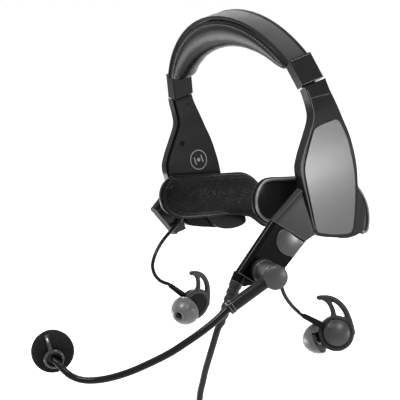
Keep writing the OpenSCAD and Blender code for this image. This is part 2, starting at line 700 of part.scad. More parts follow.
// Main cord: out of the strain relief, down in front, then tied in a coil
cord_start = on_plane(rib_x, relief_end.x, relief_end.y);
cord_points = [[67.5, -125.5, -171], [65.5, -129.2, -177.5], [62.5, -132, -184],
    [59.5, -134.6, -190.5], [57, -137, -197], [54.5, -139.6, -203.5], [52.5, -141.6, -210],
    [51, -143, -217], [50.4, -143.6, -224], [50.2, -143.8, -231]];
coil_at = [50, -144, -coil_drop];
sunk = 0.6;
coil_top = coil_at.z + coil_d / 2 + bundle_d / 2;
cord_path = concat([for (d = [clear_of, 3]) cord_start + d * way_on_plane(exit_dir)], [for (p = cord_points) if (p.z > coil_top) p],
    [[coil_at.x, coil_at.y, coil_top - sunk]]);
module main_cord() color(rubber) tube(smooth_line(cord_path, 2), cord_d / 2, cord_d / 2, 8,
    [1, 0, 0]);
tie_len = 10;
module coil_ring() translate(coil_at) rotate([90, 0, 0])
    rotate_extrude() translate([coil_d / 2, 0]) circle(d = bundle_d, $fn = 24);
module cord_coil() color(rubber) coil_ring();
module coil_tie() {
    color(black) difference() {
        translate([coil_at.x + coil_d / 2, coil_at.y, coil_at.z])
            cylinder(d = bundle_d + 2.4, h = tie_len, center = true);
        coil_ring();
    }
}
// The plug hangs below one side of the coil, where the last turn leaves it
boot_len = 22;
plug_at = coil_at + [-coil_d / 2 - cord_d, cord_d, 0];
barrel_z = coil_at.z - bundle_d / 2 - boot_len;
module plug_boot() {
    color(rubber) difference() {
        translate([plug_at.x, plug_at.y, barrel_z]) rotate_extrude() polygon([[0, 0],
            [barrel_d / 2 - 1.4, 0], [cord_d / 2 + 1.2, boot_len], [0, boot_len]]);
        coil_ring();
    }
}
module plug_barrel() {
    color(black) translate([plug_at.x, plug_at.y, barrel_z - barrel_len]) rotate_extrude()
        polygon([[0, 0], [barrel_d / 2 - 1, 0], [barrel_d / 2, 1], [barrel_d / 2, barrel_len - 4],
            [barrel_d / 2 - 1, barrel_len - 3], [barrel_d / 2 - 1, barrel_len], [0, barrel_len]]);
}
plug_nose = 5;
module plug_pin() {
    r = plug_pin_d / 2;
    color(steel) translate([plug_at.x, plug_at.y, barrel_z - barrel_len]) mirror([0, 0, 1])
        rotate_extrude() polygon([[0, 0], [r, 0], [r, plug_pin_len - plug_nose],
            [r - 1.1, plug_pin_len - plug_nose + 1], [r - 0.4, plug_pin_len - plug_nose + 2.6],
            [r - 1.8, plug_pin_len - 0.6], [0, plug_pin_len]]);
}

// Earphones: +X of their frame is the outer cap's way, the nozzle goes toward -Y
bud_pose_left = [[62.4, -23.6, -213.4], [0, -22, -32]];
bud_pose_right = [[63.7, -55.9, -189.3], [-10, -16, 3]];
bud_in = -bud_t / 2;
bud_out = bud_t / 2;
relief_a = [1.6, -6.2, 6.4];
relief_b = [4.5, -19, 18.6];
relief_way = unit(relief_b - relief_a);
tip_at = [-3, -4, 0.5];
tip_way = unit([-7, -14, 1.5]);
tip_reach = 17;
module bud_frame(pose) translate(pose[0]) rotate(pose[1]) children();
module along(p, w) translate(p) rotate([0, acos(w.z), atan2(w.y, w.x)]) children();
function turn(v, a) = let (x = [v.x, v.y * cos(a.x) - v.z * sin(a.x), v.y * sin(a.x) + v.z * cos(a.x)],
    y = [x.x * cos(a.y) + x.z * sin(a.y), x.y, -x.x * sin(a.y) + x.z * cos(a.y)])
    [y.x * cos(a.z) - y.y * sin(a.z), y.x * sin(a.z) + y.y * cos(a.z), y.z];
function lead_end(pose, off) = pose[0] + turn(relief_b + off * relief_way, pose[1]);
driver_d = bud_d - 4;
driver_t = 3;

module bud_form() {
    difference() {
        union() {
            translate([bud_in, 0, 0]) rotate([0, 90, 0]) cylinder(d = bud_d, h = bud_t);
            along(tip_at, tip_way) cylinder(d1 = nozzle_d + 4, d2 = nozzle_d, h = 9);
            along(tip_at, tip_way) cylinder(d = nozzle_d, h = tip_reach);
            along(relief_a, relief_way) cylinder(d1 = 5, d2 = lead_d + 1, h = norm(relief_b - relief_a));
        }
        translate([bud_in + 1.5, 0, 0]) rotate([0, 90, 0]) cylinder(d = driver_d, h = bud_t);
        translate([bud_out, 0, 0]) rotate([0, 90, 0]) cylinder(d = bud_cap_d, h = 8);
    }
}
module bud_housing_left() color(black) bud_frame(bud_pose_left) bud_form();
module bud_housing_right() left_or_right(-1) color(black) bud_frame(bud_pose_right) bud_form();

module bud_cap() color(grey) translate([bud_out, 0, 0]) rotate([0, 90, 0]) rotate_extrude()
    polygon([[0, 0], [bud_cap_d / 2, 0], [bud_cap_d / 2, 1.4], [bud_cap_d / 2 - 1, 2.4],
        [bud_cap_d / 2 - 3.5, 3.2], [0, 3.8]]);
module bud_cap_left() bud_frame(bud_pose_left) bud_cap();
module bud_cap_right() left_or_right(-1) bud_frame(bud_pose_right) bud_cap();

module bud_driver() color(steel) translate([bud_in + 1.5, 0, 0]) rotate([0, 90, 0])
    cylinder(d = driver_d, h = driver_t);
module bud_driver_left() bud_frame(bud_pose_left) bud_driver();
module bud_driver_right() left_or_right(-1) bud_frame(bud_pose_right) bud_driver();

// Soft ring with its curved wing, as an outline seen from the cap's side
wing_t = 4;
wing_outer = smooth_line([[13, -2], [13.6, 6], [13.2, 13], [10.8, 19.6], [6.6, 25.2], [1, 28.8],
    [-5, 29.8]], 3);
wing_inner = smooth_line([[-5.4, 27.4], [-1.6, 23.2], [0.2, 18], [-0.4, 13], [-3, 10]], 3);
wing_hole = smooth_loop([[3.4, 12.6], [8.6, 10.4], [9.2, 14.4], [7, 19.6], [3.4, 23.2],
    [4, 18.4]], 3);
module wing_form() {
    translate([bud_in, 0, 0]) rotate([90, 0, 90]) linear_extrude(wing_t) difference() {
        union() {
            circle(d = ring_d);
            polygon(concat(wing_outer, wing_inner));
        }
        circle(d = bud_d);
        polygon(wing_hole);
    }
}
module ear_wing() color(rubber) difference() {
    wing_form();
    along(tip_at, tip_way) cylinder(d1 = nozzle_d + 4, d2 = nozzle_d, h = 9);
    along(tip_at, tip_way) cylinder(d = nozzle_d, h = tip_reach);
}
module ear_wing_left() bud_frame(bud_pose_left) ear_wing();
module ear_wing_right() left_or_right(-1) bud_frame(bud_pose_right) ear_wing();

// Silicone tip: an umbrella on a sleeve that fits the nozzle
module ear_tip() {
    r = tip_d / 2;
    b = nozzle_d / 2;
    color(silicone) along(tip_at, tip_way) translate([0, 0, 9]) rotate_extrude() polygon([
        [b, 0], [b + 1, 0], [b + 1.2, 7], [r - 1.4, 0.8], [r - 0.4, 0], [r, 1.2],
        [r - 0.9, 5], [r - 3, 8.6], [b + 0.4, 10.6], [b - 0.8, 10.2], [b - 0.8, tip_reach - 9],
        [b, tip_reach - 9]]);
}
module ear_tip_left() bud_frame(bud_pose_left) ear_tip();
module ear_tip_right() left_or_right(-1) bud_frame(bud_pose_right) ear_tip();

// Earphone leads, from the dock's boss to the earphone's strain relief
lead_start = on_plane(lead_x, lead_exit.x, lead_exit.y);
lead_way = way_on_plane(unit(lead_exit - boss_from));
lead_aim = 2.4;
lead_left = concat([for (d = [clear_of, lead_aim]) lead_start + d * lead_way], [[72, -45, -130], [70, -51, -139], [67.5, -56, -149],
    [65, -58.6, -157.5], [62.5, -58, -164.5], [59.5, -54.6, -173], [56, -49, -182],
    [53, -43.6, -188.8]], [for (d = [lead_aim, clear_of]) lead_end(bud_pose_left, d)]);
lead_right = concat([for (d = [clear_of, lead_aim]) lead_start + d * lead_way],
    [[71.5, -46, -128.2], [70, -53.5, -130.4], [69, -60, -132.6],
    [68, -67, -136], [67, -74, -141], [66.3, -79, -147.2], [65.5, -80.2, -154],
    [64.5, -77.6, -160.8]], [for (d = [lead_aim, clear_of]) lead_end(bud_pose_right, d)]);
module ear_lead_left() color(rubber) tube(smooth_line(lead_left, 2), lead_d / 2, lead_d / 2, 8,
    [1, 0, 0]);
module ear_lead_right() left_or_right(-1) color(rubber)
    tube(smooth_line(lead_right, 2), lead_d / 2, lead_d / 2, 8, [1, 0, 0]);

headband_cover();
headband_spring();
headband_cushion();
end_cap_left();
end_cap_right();
slider_strip_left();
slider_strip_right();
arm_shell_left();
arm_shell_right();
arm_cover_left();
arm_cover_right();
face_plate_left();
face_plate_right();
circuit_board_left();
circuit_board_right();
cover_screws_left();
cover_screws_right();
module_dock_left();
module_dock_right();
dock_blank();
pad_carrier_left();
pad_carrier_right();
pad_cushion_left();
pad_cushion_right();
pad_pin_left();
pad_pin_right();
pad_bracket_left();
pad_bracket_right();
module_body();
latch_button();
pivot_base();
pivot_pin();
pivot_hub();
hub_cap();
boom_tube();
boom_collar();
boom_gooseneck();
mic_holder();
mic_capsule();
windscreen();
cable_relief();
main_cord();
cord_coil();
coil_tie();
plug_boot();
plug_barrel();
plug_pin();
ear_lead_left();
ear_lead_right();
bud_housing_left();
bud_housing_right();
bud_cap_left();
bud_cap_right();
bud_driver_left();
bud_driver_right();
ear_wing_left();
ear_wing_right();
ear_tip_left();
ear_tip_right();
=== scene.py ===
import json
import math

import bmesh
import bpy
from mathutils import Matrix, Vector, noise
from mathutils.bvhtree import BVHTree

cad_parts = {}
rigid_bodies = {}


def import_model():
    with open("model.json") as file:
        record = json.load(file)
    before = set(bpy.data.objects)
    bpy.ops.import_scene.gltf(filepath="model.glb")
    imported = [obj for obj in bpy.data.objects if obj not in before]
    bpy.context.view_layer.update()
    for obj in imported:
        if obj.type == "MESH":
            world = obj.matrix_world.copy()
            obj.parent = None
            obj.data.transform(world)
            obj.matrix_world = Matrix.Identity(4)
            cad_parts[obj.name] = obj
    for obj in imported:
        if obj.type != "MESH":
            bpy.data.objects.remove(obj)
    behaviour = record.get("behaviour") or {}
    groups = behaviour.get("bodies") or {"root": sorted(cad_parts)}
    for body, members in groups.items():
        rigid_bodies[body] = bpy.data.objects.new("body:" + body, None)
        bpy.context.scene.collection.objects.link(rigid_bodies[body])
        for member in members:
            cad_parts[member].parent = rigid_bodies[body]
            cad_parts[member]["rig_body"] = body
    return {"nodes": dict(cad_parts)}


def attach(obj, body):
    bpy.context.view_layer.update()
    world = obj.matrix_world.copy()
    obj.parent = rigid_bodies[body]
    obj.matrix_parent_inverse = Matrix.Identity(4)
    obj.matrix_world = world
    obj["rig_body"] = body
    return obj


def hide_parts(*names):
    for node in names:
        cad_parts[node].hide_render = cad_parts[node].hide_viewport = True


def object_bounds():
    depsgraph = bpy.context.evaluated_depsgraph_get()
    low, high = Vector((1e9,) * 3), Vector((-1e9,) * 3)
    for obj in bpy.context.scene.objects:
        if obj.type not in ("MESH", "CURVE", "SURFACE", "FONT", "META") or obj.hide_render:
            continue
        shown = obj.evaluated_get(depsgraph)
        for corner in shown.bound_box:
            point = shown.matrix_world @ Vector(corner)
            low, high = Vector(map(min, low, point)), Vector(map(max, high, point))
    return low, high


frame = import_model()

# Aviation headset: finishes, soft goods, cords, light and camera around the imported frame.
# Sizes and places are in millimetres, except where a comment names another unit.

cad_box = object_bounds()
NODES = frame["nodes"]
MM = 0.001
SIDES = {"left": 1, "right": -1}
EDGES = {"front": -1, "rear": 1}


def body_of(node):
    return NODES[node]["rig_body"]


# ---------------------------------------------------------------- wiring of node trees


class Wire:
    """Short calls that add and join the nodes of one tree."""

    def __init__(self, tree):
        self.tree = tree

    def feed(self, socket, value):
        """Joins another node's output to a socket, or sets the socket to a plain value."""
        if isinstance(value, bpy.types.NodeSocket):
            self.tree.links.new(value, socket)
        else:
            socket.default_value = value

    def node(self, kind, inputs=(), **settings):
        node = self.tree.nodes.new(kind)
        for key, value in settings.items():
            setattr(node, key, value)
        for key, value in dict(inputs).items():
            self.feed(node.inputs[key], value)
        return node

    def math(self, operation, *values):
        node = self.node("ShaderNodeMath", enumerate(values), operation=operation)
        return node.outputs[0]

    def mix(self, share, a, b):
        """A colour between a and b; 6 and 7 are the node's colour sockets."""
        return self.node("ShaderNodeMix", {0: share, 6: a, 7: b}, data_type="RGBA").outputs[2]

    def cloud(self, where, scale, detail, roughness=0.5):
        """The outputs of a noise texture."""
        return self.node("ShaderNodeTexNoise", {"Vector": where, "Scale": scale, "Detail": detail,
                                                "Roughness": roughness}).outputs

    def bump(self, height, depth, distance):
        return self.node("ShaderNodeBump", {"Height": height, "Strength": depth,
                                            "Distance": distance}).outputs["Normal"]


def fresh(owner):
    """The wire of a material's or world's tree, emptied."""
    owner.use_nodes = True
    owner.node_tree.nodes.clear()
    return Wire(owner.node_tree)


def new_group(name, kind, inputs, outputs):
    """A group with named sockets: its wire, what it is given and what it gives."""
    tree = bpy.data.node_groups.new(name, kind)
    for label, socket_kind, value in inputs:
        socket = tree.interface.new_socket(label, in_out="INPUT", socket_type=socket_kind)
        if value is not None:
            socket.default_value = value
    for label, socket_kind in outputs:
        tree.interface.new_socket(label, in_out="OUTPUT", socket_type=socket_kind)
    wire = Wire(tree)
    return wire, wire.node("NodeGroupInput").outputs, wire.node("NodeGroupOutput").inputs


# ---------------------------------------------------------------- camera and light, in metres

CAMERA_AT = (0.69213, -0.49299, 0.09022)
CAMERA_RIGHT = Vector((0.5615006, 0.7765899, -0.2857013))
CAMERA_UP = Vector((-0.0274751, 0.3625751, 0.9315495))
CAMERA_BACK = Vector((0.8270201, -0.5152159, 0.2249230))
LENS = 104.451
SENSOR = 36
MIDDLE = Vector((0.02, -0.06, -0.10))
# Each softbox: how far right, up and toward the camera from the middle, its size, its watts
LAMPS = {
    "key": (-0.50, 0.85, 0.60, (0.40, 0.28), 8.0),
    "side": (0.93, -0.08, 0.37, (0.18, 0.15), 3.2),
    "top": (0.10, 1.0, -0.40, (0.6, 0.20), 2.8),
    "rim": (-0.13, 0.72, -0.72, (0.30, 0.16), 2.4),
    "spark": (0.35, 0.62, 0.75, (0.22, 0.16), 3.2),
    "left": (-0.64, -0.29, -0.385, (0.55, 0.18), 2.2),
}
WHITE = (1, 1, 1, 1)
WORLD_TINT = (0.93, 0.95, 1, 1)
WORLD_LIGHT = 0.5
FLOOR_DROP = 0.003
FLOOR_HALF = 3.0
FLOOR_PAINT = (0.9, 0.9, 0.9, 1)
FLOOR_GLOW = 0.62


def add_camera():
    data = bpy.data.cameras.new("camera")
    data.lens, data.sensor_width = LENS, SENSOR
    data.clip_start, data.clip_end = 0.02, 20
    camera = bpy.data.objects.new("camera", data)
    turn = Matrix((CAMERA_RIGHT, CAMERA_UP, CAMERA_BACK)).transposed().to_4x4()
    camera.matrix_world = Matrix.Translation(CAMERA_AT) @ turn
    bpy.context.scene.collection.objects.link(camera)
    bpy.context.scene.camera = camera


def add_lamp(name, right, up, back, size, watts):
    place = MIDDLE + right * CAMERA_RIGHT + up * CAMERA_UP + back * CAMERA_BACK
    data = bpy.data.lights.new(name, "AREA")
    data.shape, data.size, data.size_y, data.energy = "RECTANGLE", size[0], size[1], watts
    lamp = bpy.data.objects.new(name, data)
    turn = (place - MIDDLE).to_track_quat("Z", "Y").to_matrix().to_4x4()
    lamp.matrix_world = Matrix.Translation(place) @ turn
    bpy.context.scene.collection.objects.link(lamp)


def seen(wire):
    """1 where the camera, a reflection or glass looks, and 0 for plain light."""
    rays = wire.node("ShaderNodeLightPath").outputs
    looks = wire.math("MAXIMUM", rays["Is Camera Ray"], rays["Is Glossy Ray"])
    return wire.math("MAXIMUM", looks, rays["Is Transmission Ray"])


def add_world():
    """White where it is seen, and a softer, cooler light on the object."""
    world = bpy.data.worlds.new("studio")
    wire = fresh(world)
    white = wire.node("ShaderNodeBackground", {"Color": WHITE, "Strength": 1.0})
    soft = wire.node("ShaderNodeBackground", {"Color": WORLD_TINT, "Strength": WORLD_LIGHT})
    mix = wire.node("ShaderNodeMixShader", {0: seen(wire), 1: soft.outputs[0],
                                            2: white.outputs[0]})
    wire.node("ShaderNodeOutputWorld", {"Surface": mix.outputs[0]})
    bpy.context.scene.world = world


def add_floor():
    """A white floor just under the object, which glows only where it is seen."""
    paper = bpy.data.materials.new("floor_white")
    wire = fresh(paper)
    paint = wire.node("ShaderNodeBsdfDiffuse", {"Color": FLOOR_PAINT}).outputs[0]
    glow = wire.node("ShaderNodeEmission", {"Color": WHITE, "Strength": FLOOR_GLOW}).outputs[0]
    both = wire.node("ShaderNodeAddShader", {0: paint, 1: glow}).outputs[0]
    mix = wire.node("ShaderNodeMixShader", {0: seen(wire), 1: paint, 2: both})
    wire.node("ShaderNodeOutputMaterial", {"Surface": mix.outputs[0]})
    z = cad_box[0].z - FLOOR_DROP
    h = FLOOR_HALF
    mesh = bpy.data.meshes.new("floor")
    mesh.from_pydata([(-h, -h, z), (h, -h, z), (h, h, z), (-h, h, z)], [], [(0, 1, 2, 3)])
    mesh.materials.append(paper)
    floor = bpy.data.objects.new("floor", mesh)
    bpy.context.scene.collection.objects.link(floor)


# ---------------------------------------------------------------- finishes

FINISH_INPUTS = (
    ("Colour", "NodeSocketColor", (0.02, 0.02, 0.02, 1)),
    ("Second Colour", "NodeSocketColor", (0.03, 0.03, 0.03, 1)),
    ("Scale", "NodeSocketFloat", 1000.0),
    ("Depth", "NodeSocketFloat", 0.2),
    ("Roughness", "NodeSocketFloat", 0.35),
    ("Spread", "NodeSocketFloat", 0.1),
)
FINISH_OUTPUTS = (("Colour", "NodeSocketColor"), ("Roughness", "NodeSocketFloat"),
                  ("Normal", "NodeSocketVector"))


def finish_group(name, build, distance):
    """A finish: build gives the height and the mask between the two colours."""
    wire, given, result = new_group(name, "ShaderNodeTree", FINISH_INPUTS, FINISH_OUTPUTS)
    place = wire.node("ShaderNodeTexCoord").outputs
    height, mask = build(wire, place, given["Scale"])
    swing = wire.math("MULTIPLY", wire.math("SUBTRACT", mask, 0.5), given["Spread"])
    wire.feed(result["Colour"], wire.mix(mask, given["Colour"], given["Second Colour"]))
    wire.feed(result["Roughness"], wire.math("ADD", given["Roughness"], swing))
    wire.feed(result["Normal"], wire.bump(height, given["Depth"], distance))
    return wire.tree


def moulded(wire, place, scale):
    """Moulded plastic or rubber: a fine spark texture and slow changes of tone."""
    fine = wire.cloud(place["Object"], scale, 3.0)
    slow = wire.cloud(place["Object"], 55.0, 4.0, 0.6)
    return fine["Fac"], slow["Fac"]


def grained(wire, place, scale):
    """Leather: rounded pebbles between fine creases."""
    warp = wire.cloud(place["Object"], scale, 2.0)
    shift = wire.node("ShaderNodeVectorMath", {0: warp["Color"], "Scale": 0.0009},
                      operation="SCALE")
    moved = wire.node("ShaderNodeVectorMath", {0: place["Object"], 1: shift.outputs[0]},
                      operation="ADD")
    cells = wire.node("ShaderNodeTexVoronoi", {"Vector": moved.outputs[0], "Scale": scale},
                      feature="DISTANCE_TO_EDGE")
    pebble = wire.math("MULTIPLY", cells.outputs["Distance"], 5.0)
    pebble = wire.math("MINIMUM", pebble, 1.0)
    folds = wire.cloud(place["Object"], 160.0, 5.0)
    height = wire.math("MULTIPLY_ADD", folds["Fac"], 0.6, pebble)
    return height, wire.math("SUBTRACT", 1.0, pebble)


def porous(wire, place, scale):
    """Open-cell foam: many small pits of uneven size."""
    cells = wire.node("ShaderNodeTexVoronoi", {"Vector": place["Object"], "Scale": scale})
    speck = wire.cloud(place["Object"], scale, 4.0, 0.7)
    pits = wire.math("MULTIPLY", cells.outputs["Distance"], speck["Fac"])
    mask = wire.math("SMOOTH_MIN", wire.math("MULTIPLY", pits, 2.6), 1.0, 0.2)
    return pits, mask


def woven(wire, place, scale):
    """Close fabric: warp and weft threads crossing, read from the piece's own UV map."""
    across = wire.node("ShaderNodeSeparateXYZ", {0: place["UV"]}).outputs
    warp, weft = (wire.math("SINE", wire.math("MULTIPLY", across[axis], scale))
                  for axis in ("X", "Y"))
    height = wire.math("MULTIPLY_ADD", wire.math("MULTIPLY", warp, weft), 0.5, 0.5)
    fuzz = wire.cloud(place["Object"], 420.0, 4.0)
    tone = wire.math("MULTIPLY", fuzz["Fac"], 0.5)
    return height, wire.math("MULTIPLY_ADD", height, 0.4, tone)


def brushed(wire, place, scale):
    """Satin metal or metal-look paint: very fine lines up and down the piece."""
    stretch = wire.node("ShaderNodeMapping", {"Vector": place["Object"],
                                              "Scale": (1.0, 1.0, 0.03)})
    lines = wire.cloud(stretch.outputs[0], scale, 3.0)
    slow = wire.cloud(place["Object"], 18.0, 2.0)
    tone = wire.math("MULTIPLY", slow["Fac"], 0.6)
    return lines["Fac"], wire.math("MULTIPLY_ADD", lines["Fac"], 0.35, tone)


# The last value is the height of the relief, in metres
GROUPS = {
    "moulded": finish_group("moulded_grain", moulded, 0.00012),
    "grained": finish_group("leather_grain", grained, 0.0006),
    "porous": finish_group("foam_pores", porous, 0.0012),
    "woven": finish_group("fabric_weave", woven, 0.0002),
    "brushed": finish_group("brushed_lines", brushed, 0.00006),
}
SHINE = {"metallic": "Metallic", "specular": "Specular IOR Level", "sheen": "Sheen Weight",
         "transmission": "Transmission Weight"}


def grey(value, warm):
    return (value * (1 + warm), value, value * (1 - warm), 1.0)


def material(name, group, dark, light, scale, depth, rough, spread, warm=0.0, **shine):
    made = bpy.data.materials.new(name)
    wire = fresh(made)
    grain = wire.node("ShaderNodeGroup", {
        "Colour": grey(dark, warm), "Second Colour": grey(light, warm), "Scale": scale,
        "Depth": depth, "Roughness": rough, "Spread": spread}, node_tree=GROUPS[group]).outputs
    shader = wire.node("ShaderNodeBsdfPrincipled", {
        "Base Color": grain["Colour"], "Roughness": grain["Roughness"],
        "Normal": grain["Normal"]})
    for key, value in shine.items():
        shader.inputs[SHINE[key]].default_value = value
    wire.node("ShaderNodeOutputMaterial", {"Surface": shader.outputs[0]})
    return made


# Each finish: group, two tones, the grain's scale and depth, roughness, its spread, the rest
FINISH_VALUES = {
    "gloss_shell": ("moulded", 0.006, 0.010, 2600, 0.03, 0.21, 0.08, dict(specular=0.15)),
    "gloss_module": ("moulded", 0.001, 0.003, 2600, 0.03, 0.17, 0.08, dict(specular=0.06)),
    "hub_satin": ("moulded", 0.021, 0.031, 2600, 0.03, 0.28, 0.08,
                  dict(metallic=0.1, specular=0.7)),
    "carrier": ("moulded", 0.010, 0.016, 2400, 0.06, 0.34, 0.08, dict(specular=0.3)),
    "bracket": ("moulded", 0.007, 0.011, 2400, 0.06, 0.32, 0.08, dict(specular=0.16)),
    "holder": ("moulded", 0.012, 0.02, 2400, 0.04, 0.2, 0.06, dict(specular=0.55)),
    "satin_shell": ("moulded", 0.0035, 0.008, 2400, 0.12, 0.30, 0.12, dict(specular=0.08)),
    "satin_module": ("moulded", 0.010, 0.018, 2400, 0.08, 0.26, 0.10, dict(specular=0.2)),
    # Light grey for the lip on each pad carrier's edge: a painted highlight
    "lip": ("moulded", 0.15, 0.20, 2200, 0.04, 0.26, 0.06, dict(specular=0.6)),
    # Light grey for thin strands on edges, seams and joints of black parts: painted highlights
    "rim": ("moulded", 0.09, 0.13, 2200, 0.05, 0.24, 0.06, dict(specular=0.5)),
    "plate": ("brushed", 0.075, 0.115, 2200, 0.06, 0.30, 0.05,
              dict(metallic=0.8, specular=0.4)),
    "grey_cap": ("moulded", 0.040, 0.054, 2200, 0.06, 0.36, 0.08,
                 dict(metallic=0.5, specular=0.45)),
    "bud_grey": ("moulded", 0.030, 0.042, 2200, 0.04, 0.36, 0.08,
                 dict(metallic=0.45, specular=0.6)),
    "button": ("moulded", 0.018, 0.028, 2200, 0.06, 0.24, 0.06,
               dict(metallic=0.2, specular=0.6)),
    "leather": ("grained", 0.0032, 0.0009, 760, 1.0, 0.29, 0.2, dict(specular=0.12)),
    "band_leather": ("grained", 0.007, 0.005, 1500, 0.035, 0.31, 0.08, dict(specular=0.17)),
    "fabric": ("woven", 0.010, 0.022, 1.0, 0.12, 0.66, 0.10, dict(specular=0.32, sheen=0.22)),
    "piping": ("moulded", 0.004, 0.007, 1800, 0.2, 0.5, 0.1, dict(specular=0.14)),
    "thread": ("moulded", 0.18, 0.24, 3000, 0.4, 0.5, 0.1, {}),
    "foam": ("porous", 0.002, 0.020, 1100, 0.8, 0.95, 0.05, dict(specular=0.05)),
    "rubber": ("moulded", 0.008, 0.014, 2200, 0.14, 0.40, 0.10, dict(specular=0.25)),
    "gloss_rubber": ("moulded", 0.003, 0.006, 2200, 0.04, 0.17, 0.06, dict(specular=0.16)),
    "wing": ("moulded", 0.014, 0.022, 1800, 0.10, 0.42, 0.10, dict(specular=0.3)),
    "silicone": ("moulded", 0.13, 0.17, 1400, 0.01, 0.30, 0.06, dict(transmission=0.35)),
    "steel": ("brushed", 0.42, 0.52, 2600, 0.12, 0.26, 0.10, dict(metallic=1.0)),
    "black_steel": ("brushed", 0.012, 0.02, 2600, 0.1, 0.3, 0.1,
                    dict(metallic=0.5, specular=0.2)),
    "dark_metal": ("brushed", 0.006, 0.010, 2600, 0.05, 0.2, 0.08,
                   dict(metallic=0.3, specular=0.2)),
    "brass": ("brushed", 0.36, 0.44, 2600, 0.08, 0.22, 0.08, dict(metallic=1.0, warm=0.25)),
    "print": ("moulded", 0.22, 0.28, 1500, 0.05, 0.5, 0.05, {}),
    "board": ("moulded", 0.02, 0.03, 900, 0.1, 0.45, 0.1, {}),
    # Near black for the discs in hollows: painted shade standing for their depth
    "painted_hole_shade": ("moulded", 0.002, 0.003, 900, 0.1, 0.7, 0.1, dict(specular=0.1)),
}
FINISHES = {name: material(name, *values, **rest)
            for name, (*values, rest) in FINISH_VALUES.items()}


# ---------------------------------------------------------------- mesh helpers

MERGE = 0.003
EDGE_STEPS = 3
RING_STEPS = 48
# Degrees between faces: taken as flat, rounded as an edge, and shaded as one surface
FLAT_ANGLE = 0.8
EDGE_ANGLE = 30
SMOOTH_ANGLE = 32
STRIP_ANGLE = 50
ROUND_ANGLE = 60


def put(mesh, name, body, finish):
    """A mesh in its finish, as a piece that rides a body."""
    thing = bpy.data.objects.new(name, mesh)
    bpy.context.scene.collection.objects.link(thing)
    mesh.materials.clear()
    mesh.materials.append(FINISHES[finish])
    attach(thing, body)
    return thing


def smooth_shaded(mesh, angle):
    mesh.shade_smooth()
    mesh.set_sharp_from_angle(angle=math.radians(angle))


def applied(thing):
    """The object's mesh with its modifiers made real, and the modifiers gone."""
    bpy.context.view_layer.update()
    graph = bpy.context.evaluated_depsgraph_get()
    mesh = bpy.data.meshes.new_from_object(thing.evaluated_get(graph), depsgraph=graph)
    thing.modifiers.clear()
    old = thing.data
    thing.data = mesh
    if old.users == 0:
        bpy.data.meshes.remove(old)
    return mesh


def fused(thing, voxel, melts=0):
    """Remeshes a piece into one skin, and melts its corners a little."""
    remesh = thing.modifiers.new("remesh", "REMESH")
    remesh.mode, remesh.voxel_size = "VOXEL", voxel * MM
    if melts:
        melt = thing.modifiers.new("melt", "SMOOTH")
        melt.factor, melt.iterations = 0.5, melts
    return applied(thing)


def finer(thing):
    fine = thing.modifiers.new("fine", "SUBSURF")
    fine.levels = fine.render_levels = 1
    return applied(thing)


def circle(count):
    """Cosine and sine of even steps round a full turn."""
    turns = [2 * math.pi * k / count for k in range(count)]
    return [(math.cos(turn), math.sin(turn)) for turn in turns]


def ring_points(centre, axis, radius):
    side = axis.orthogonal().normalized()
    up = axis.cross(side).normalized()
    return [centre + radius * (c * side + s * up) for c, s in circle(RING_STEPS)]


def spline(points, steps, closed=False):
    """Points on a smooth curve through the given ones."""
    line = [Vector(p) for p in points]
    if closed:
        padded = line[-1:] + line + line[:2]
    else:
        before = line[0] + (line[0] - line[1])
        after = line[-1] + (line[-1] - line[-2])
        padded = [before] + line + [after]
    out = []
    for a, b, c, d in zip(padded, padded[1:], padded[2:], padded[3:]):
        for t in (k / steps for k in range(steps)):
            out.append(0.5 * ((2 * b) + (c - a) * t + (2 * a - 5 * b + 4 * c - d) * t * t
                              + (3 * b - a - 3 * c + d) * t ** 3))
    return out if closed else out + line[-1:]


def carried(line, side):
    """Each point of a line, its way, and two ways square to it that don't twist."""
    last = len(line) - 1
    for i, p in enumerate(line):
        along = (line[min(i + 1, last)] - line[max(i - 1, 0)]).normalized()
        side = (side - side.dot(along) * along).normalized()
        yield p, along, side, along.cross(side)


def bridge(bm, rows, ends="open"):
    """Faces from row to row of vertices, where a row of one is a pole.

    The ends stay open, are filled, or are joined to each other."""
    pairs = list(zip(rows, rows[1:])) + ([(rows[-1], rows[0])] if ends == "joined" else [])
    for low, high in pairs:
        count = max(len(low), len(high))
        for k in range(count):
            j = (k + 1) % count
            corners = [low[k % len(low)], low[j % len(low)], high[j % len(high)],
                       high[k % len(high)]]
            corners = [c for i, c in enumerate(corners) if c not in corners[:i]]
            bm.faces.new(corners)
    if ends == "filled":
        bm.faces.new(rows[0][::-1])
        bm.faces.new(rows[-1])


def mesh_from(bm, name, made_here=True):
    """The mesh of bm, which is freed; faces made in this script are turned outwards."""
    if made_here:
        bmesh.ops.recalc_face_normals(bm, faces=bm.faces)
    mesh = bpy.data.meshes.new(name)
    bm.to_mesh(mesh)
    bm.free()
    return mesh


def loft(name, rings):
    """A skin over rings of the same number of points, filled at its ends."""
    bm = bmesh.new()
    bridge(bm, [[bm.verts.new(p) for p in ring] for ring in rings], "filled")
    return mesh_from(bm, name)


def lathe(name, profile, place, segments, closed=False):
    """Profile of (height, radius) turned about place's own Z.

    Ends on the axis are poles; a closed profile joins its last ring to its first."""
    bm = bmesh.new()
    rows = []
    for height, radius in profile:
        steps = circle(segments) if radius else [(0, 0)]
        rows.append([bm.verts.new(place @ Vector((radius * MM * c, radius * MM * s,
                                                  height * MM))) for c, s in steps])
    bridge(bm, rows, "joined" if closed else "open")
    return mesh_from(bm, name)


def turned(name, profile, place, body, finish, segments, closed=False,
           angle=SMOOTH_ANGLE):
    mesh = lathe(name, profile, place, segments, closed)
    smooth_shaded(mesh, angle)
    return put(mesh, name, body, finish)


def turn_about(axis, angle):
    return Matrix.Rotation(math.radians(angle), 4, axis)


def facing(way):
    """A turn that brings Z to the given way."""
    return way.to_track_quat("Z", "X").to_matrix().to_4x4()


def surface_of(mesh):
    return BVHTree.FromPolygons([v.co for v in mesh.vertices],
                                [tuple(p.vertices) for p in mesh.polygons])


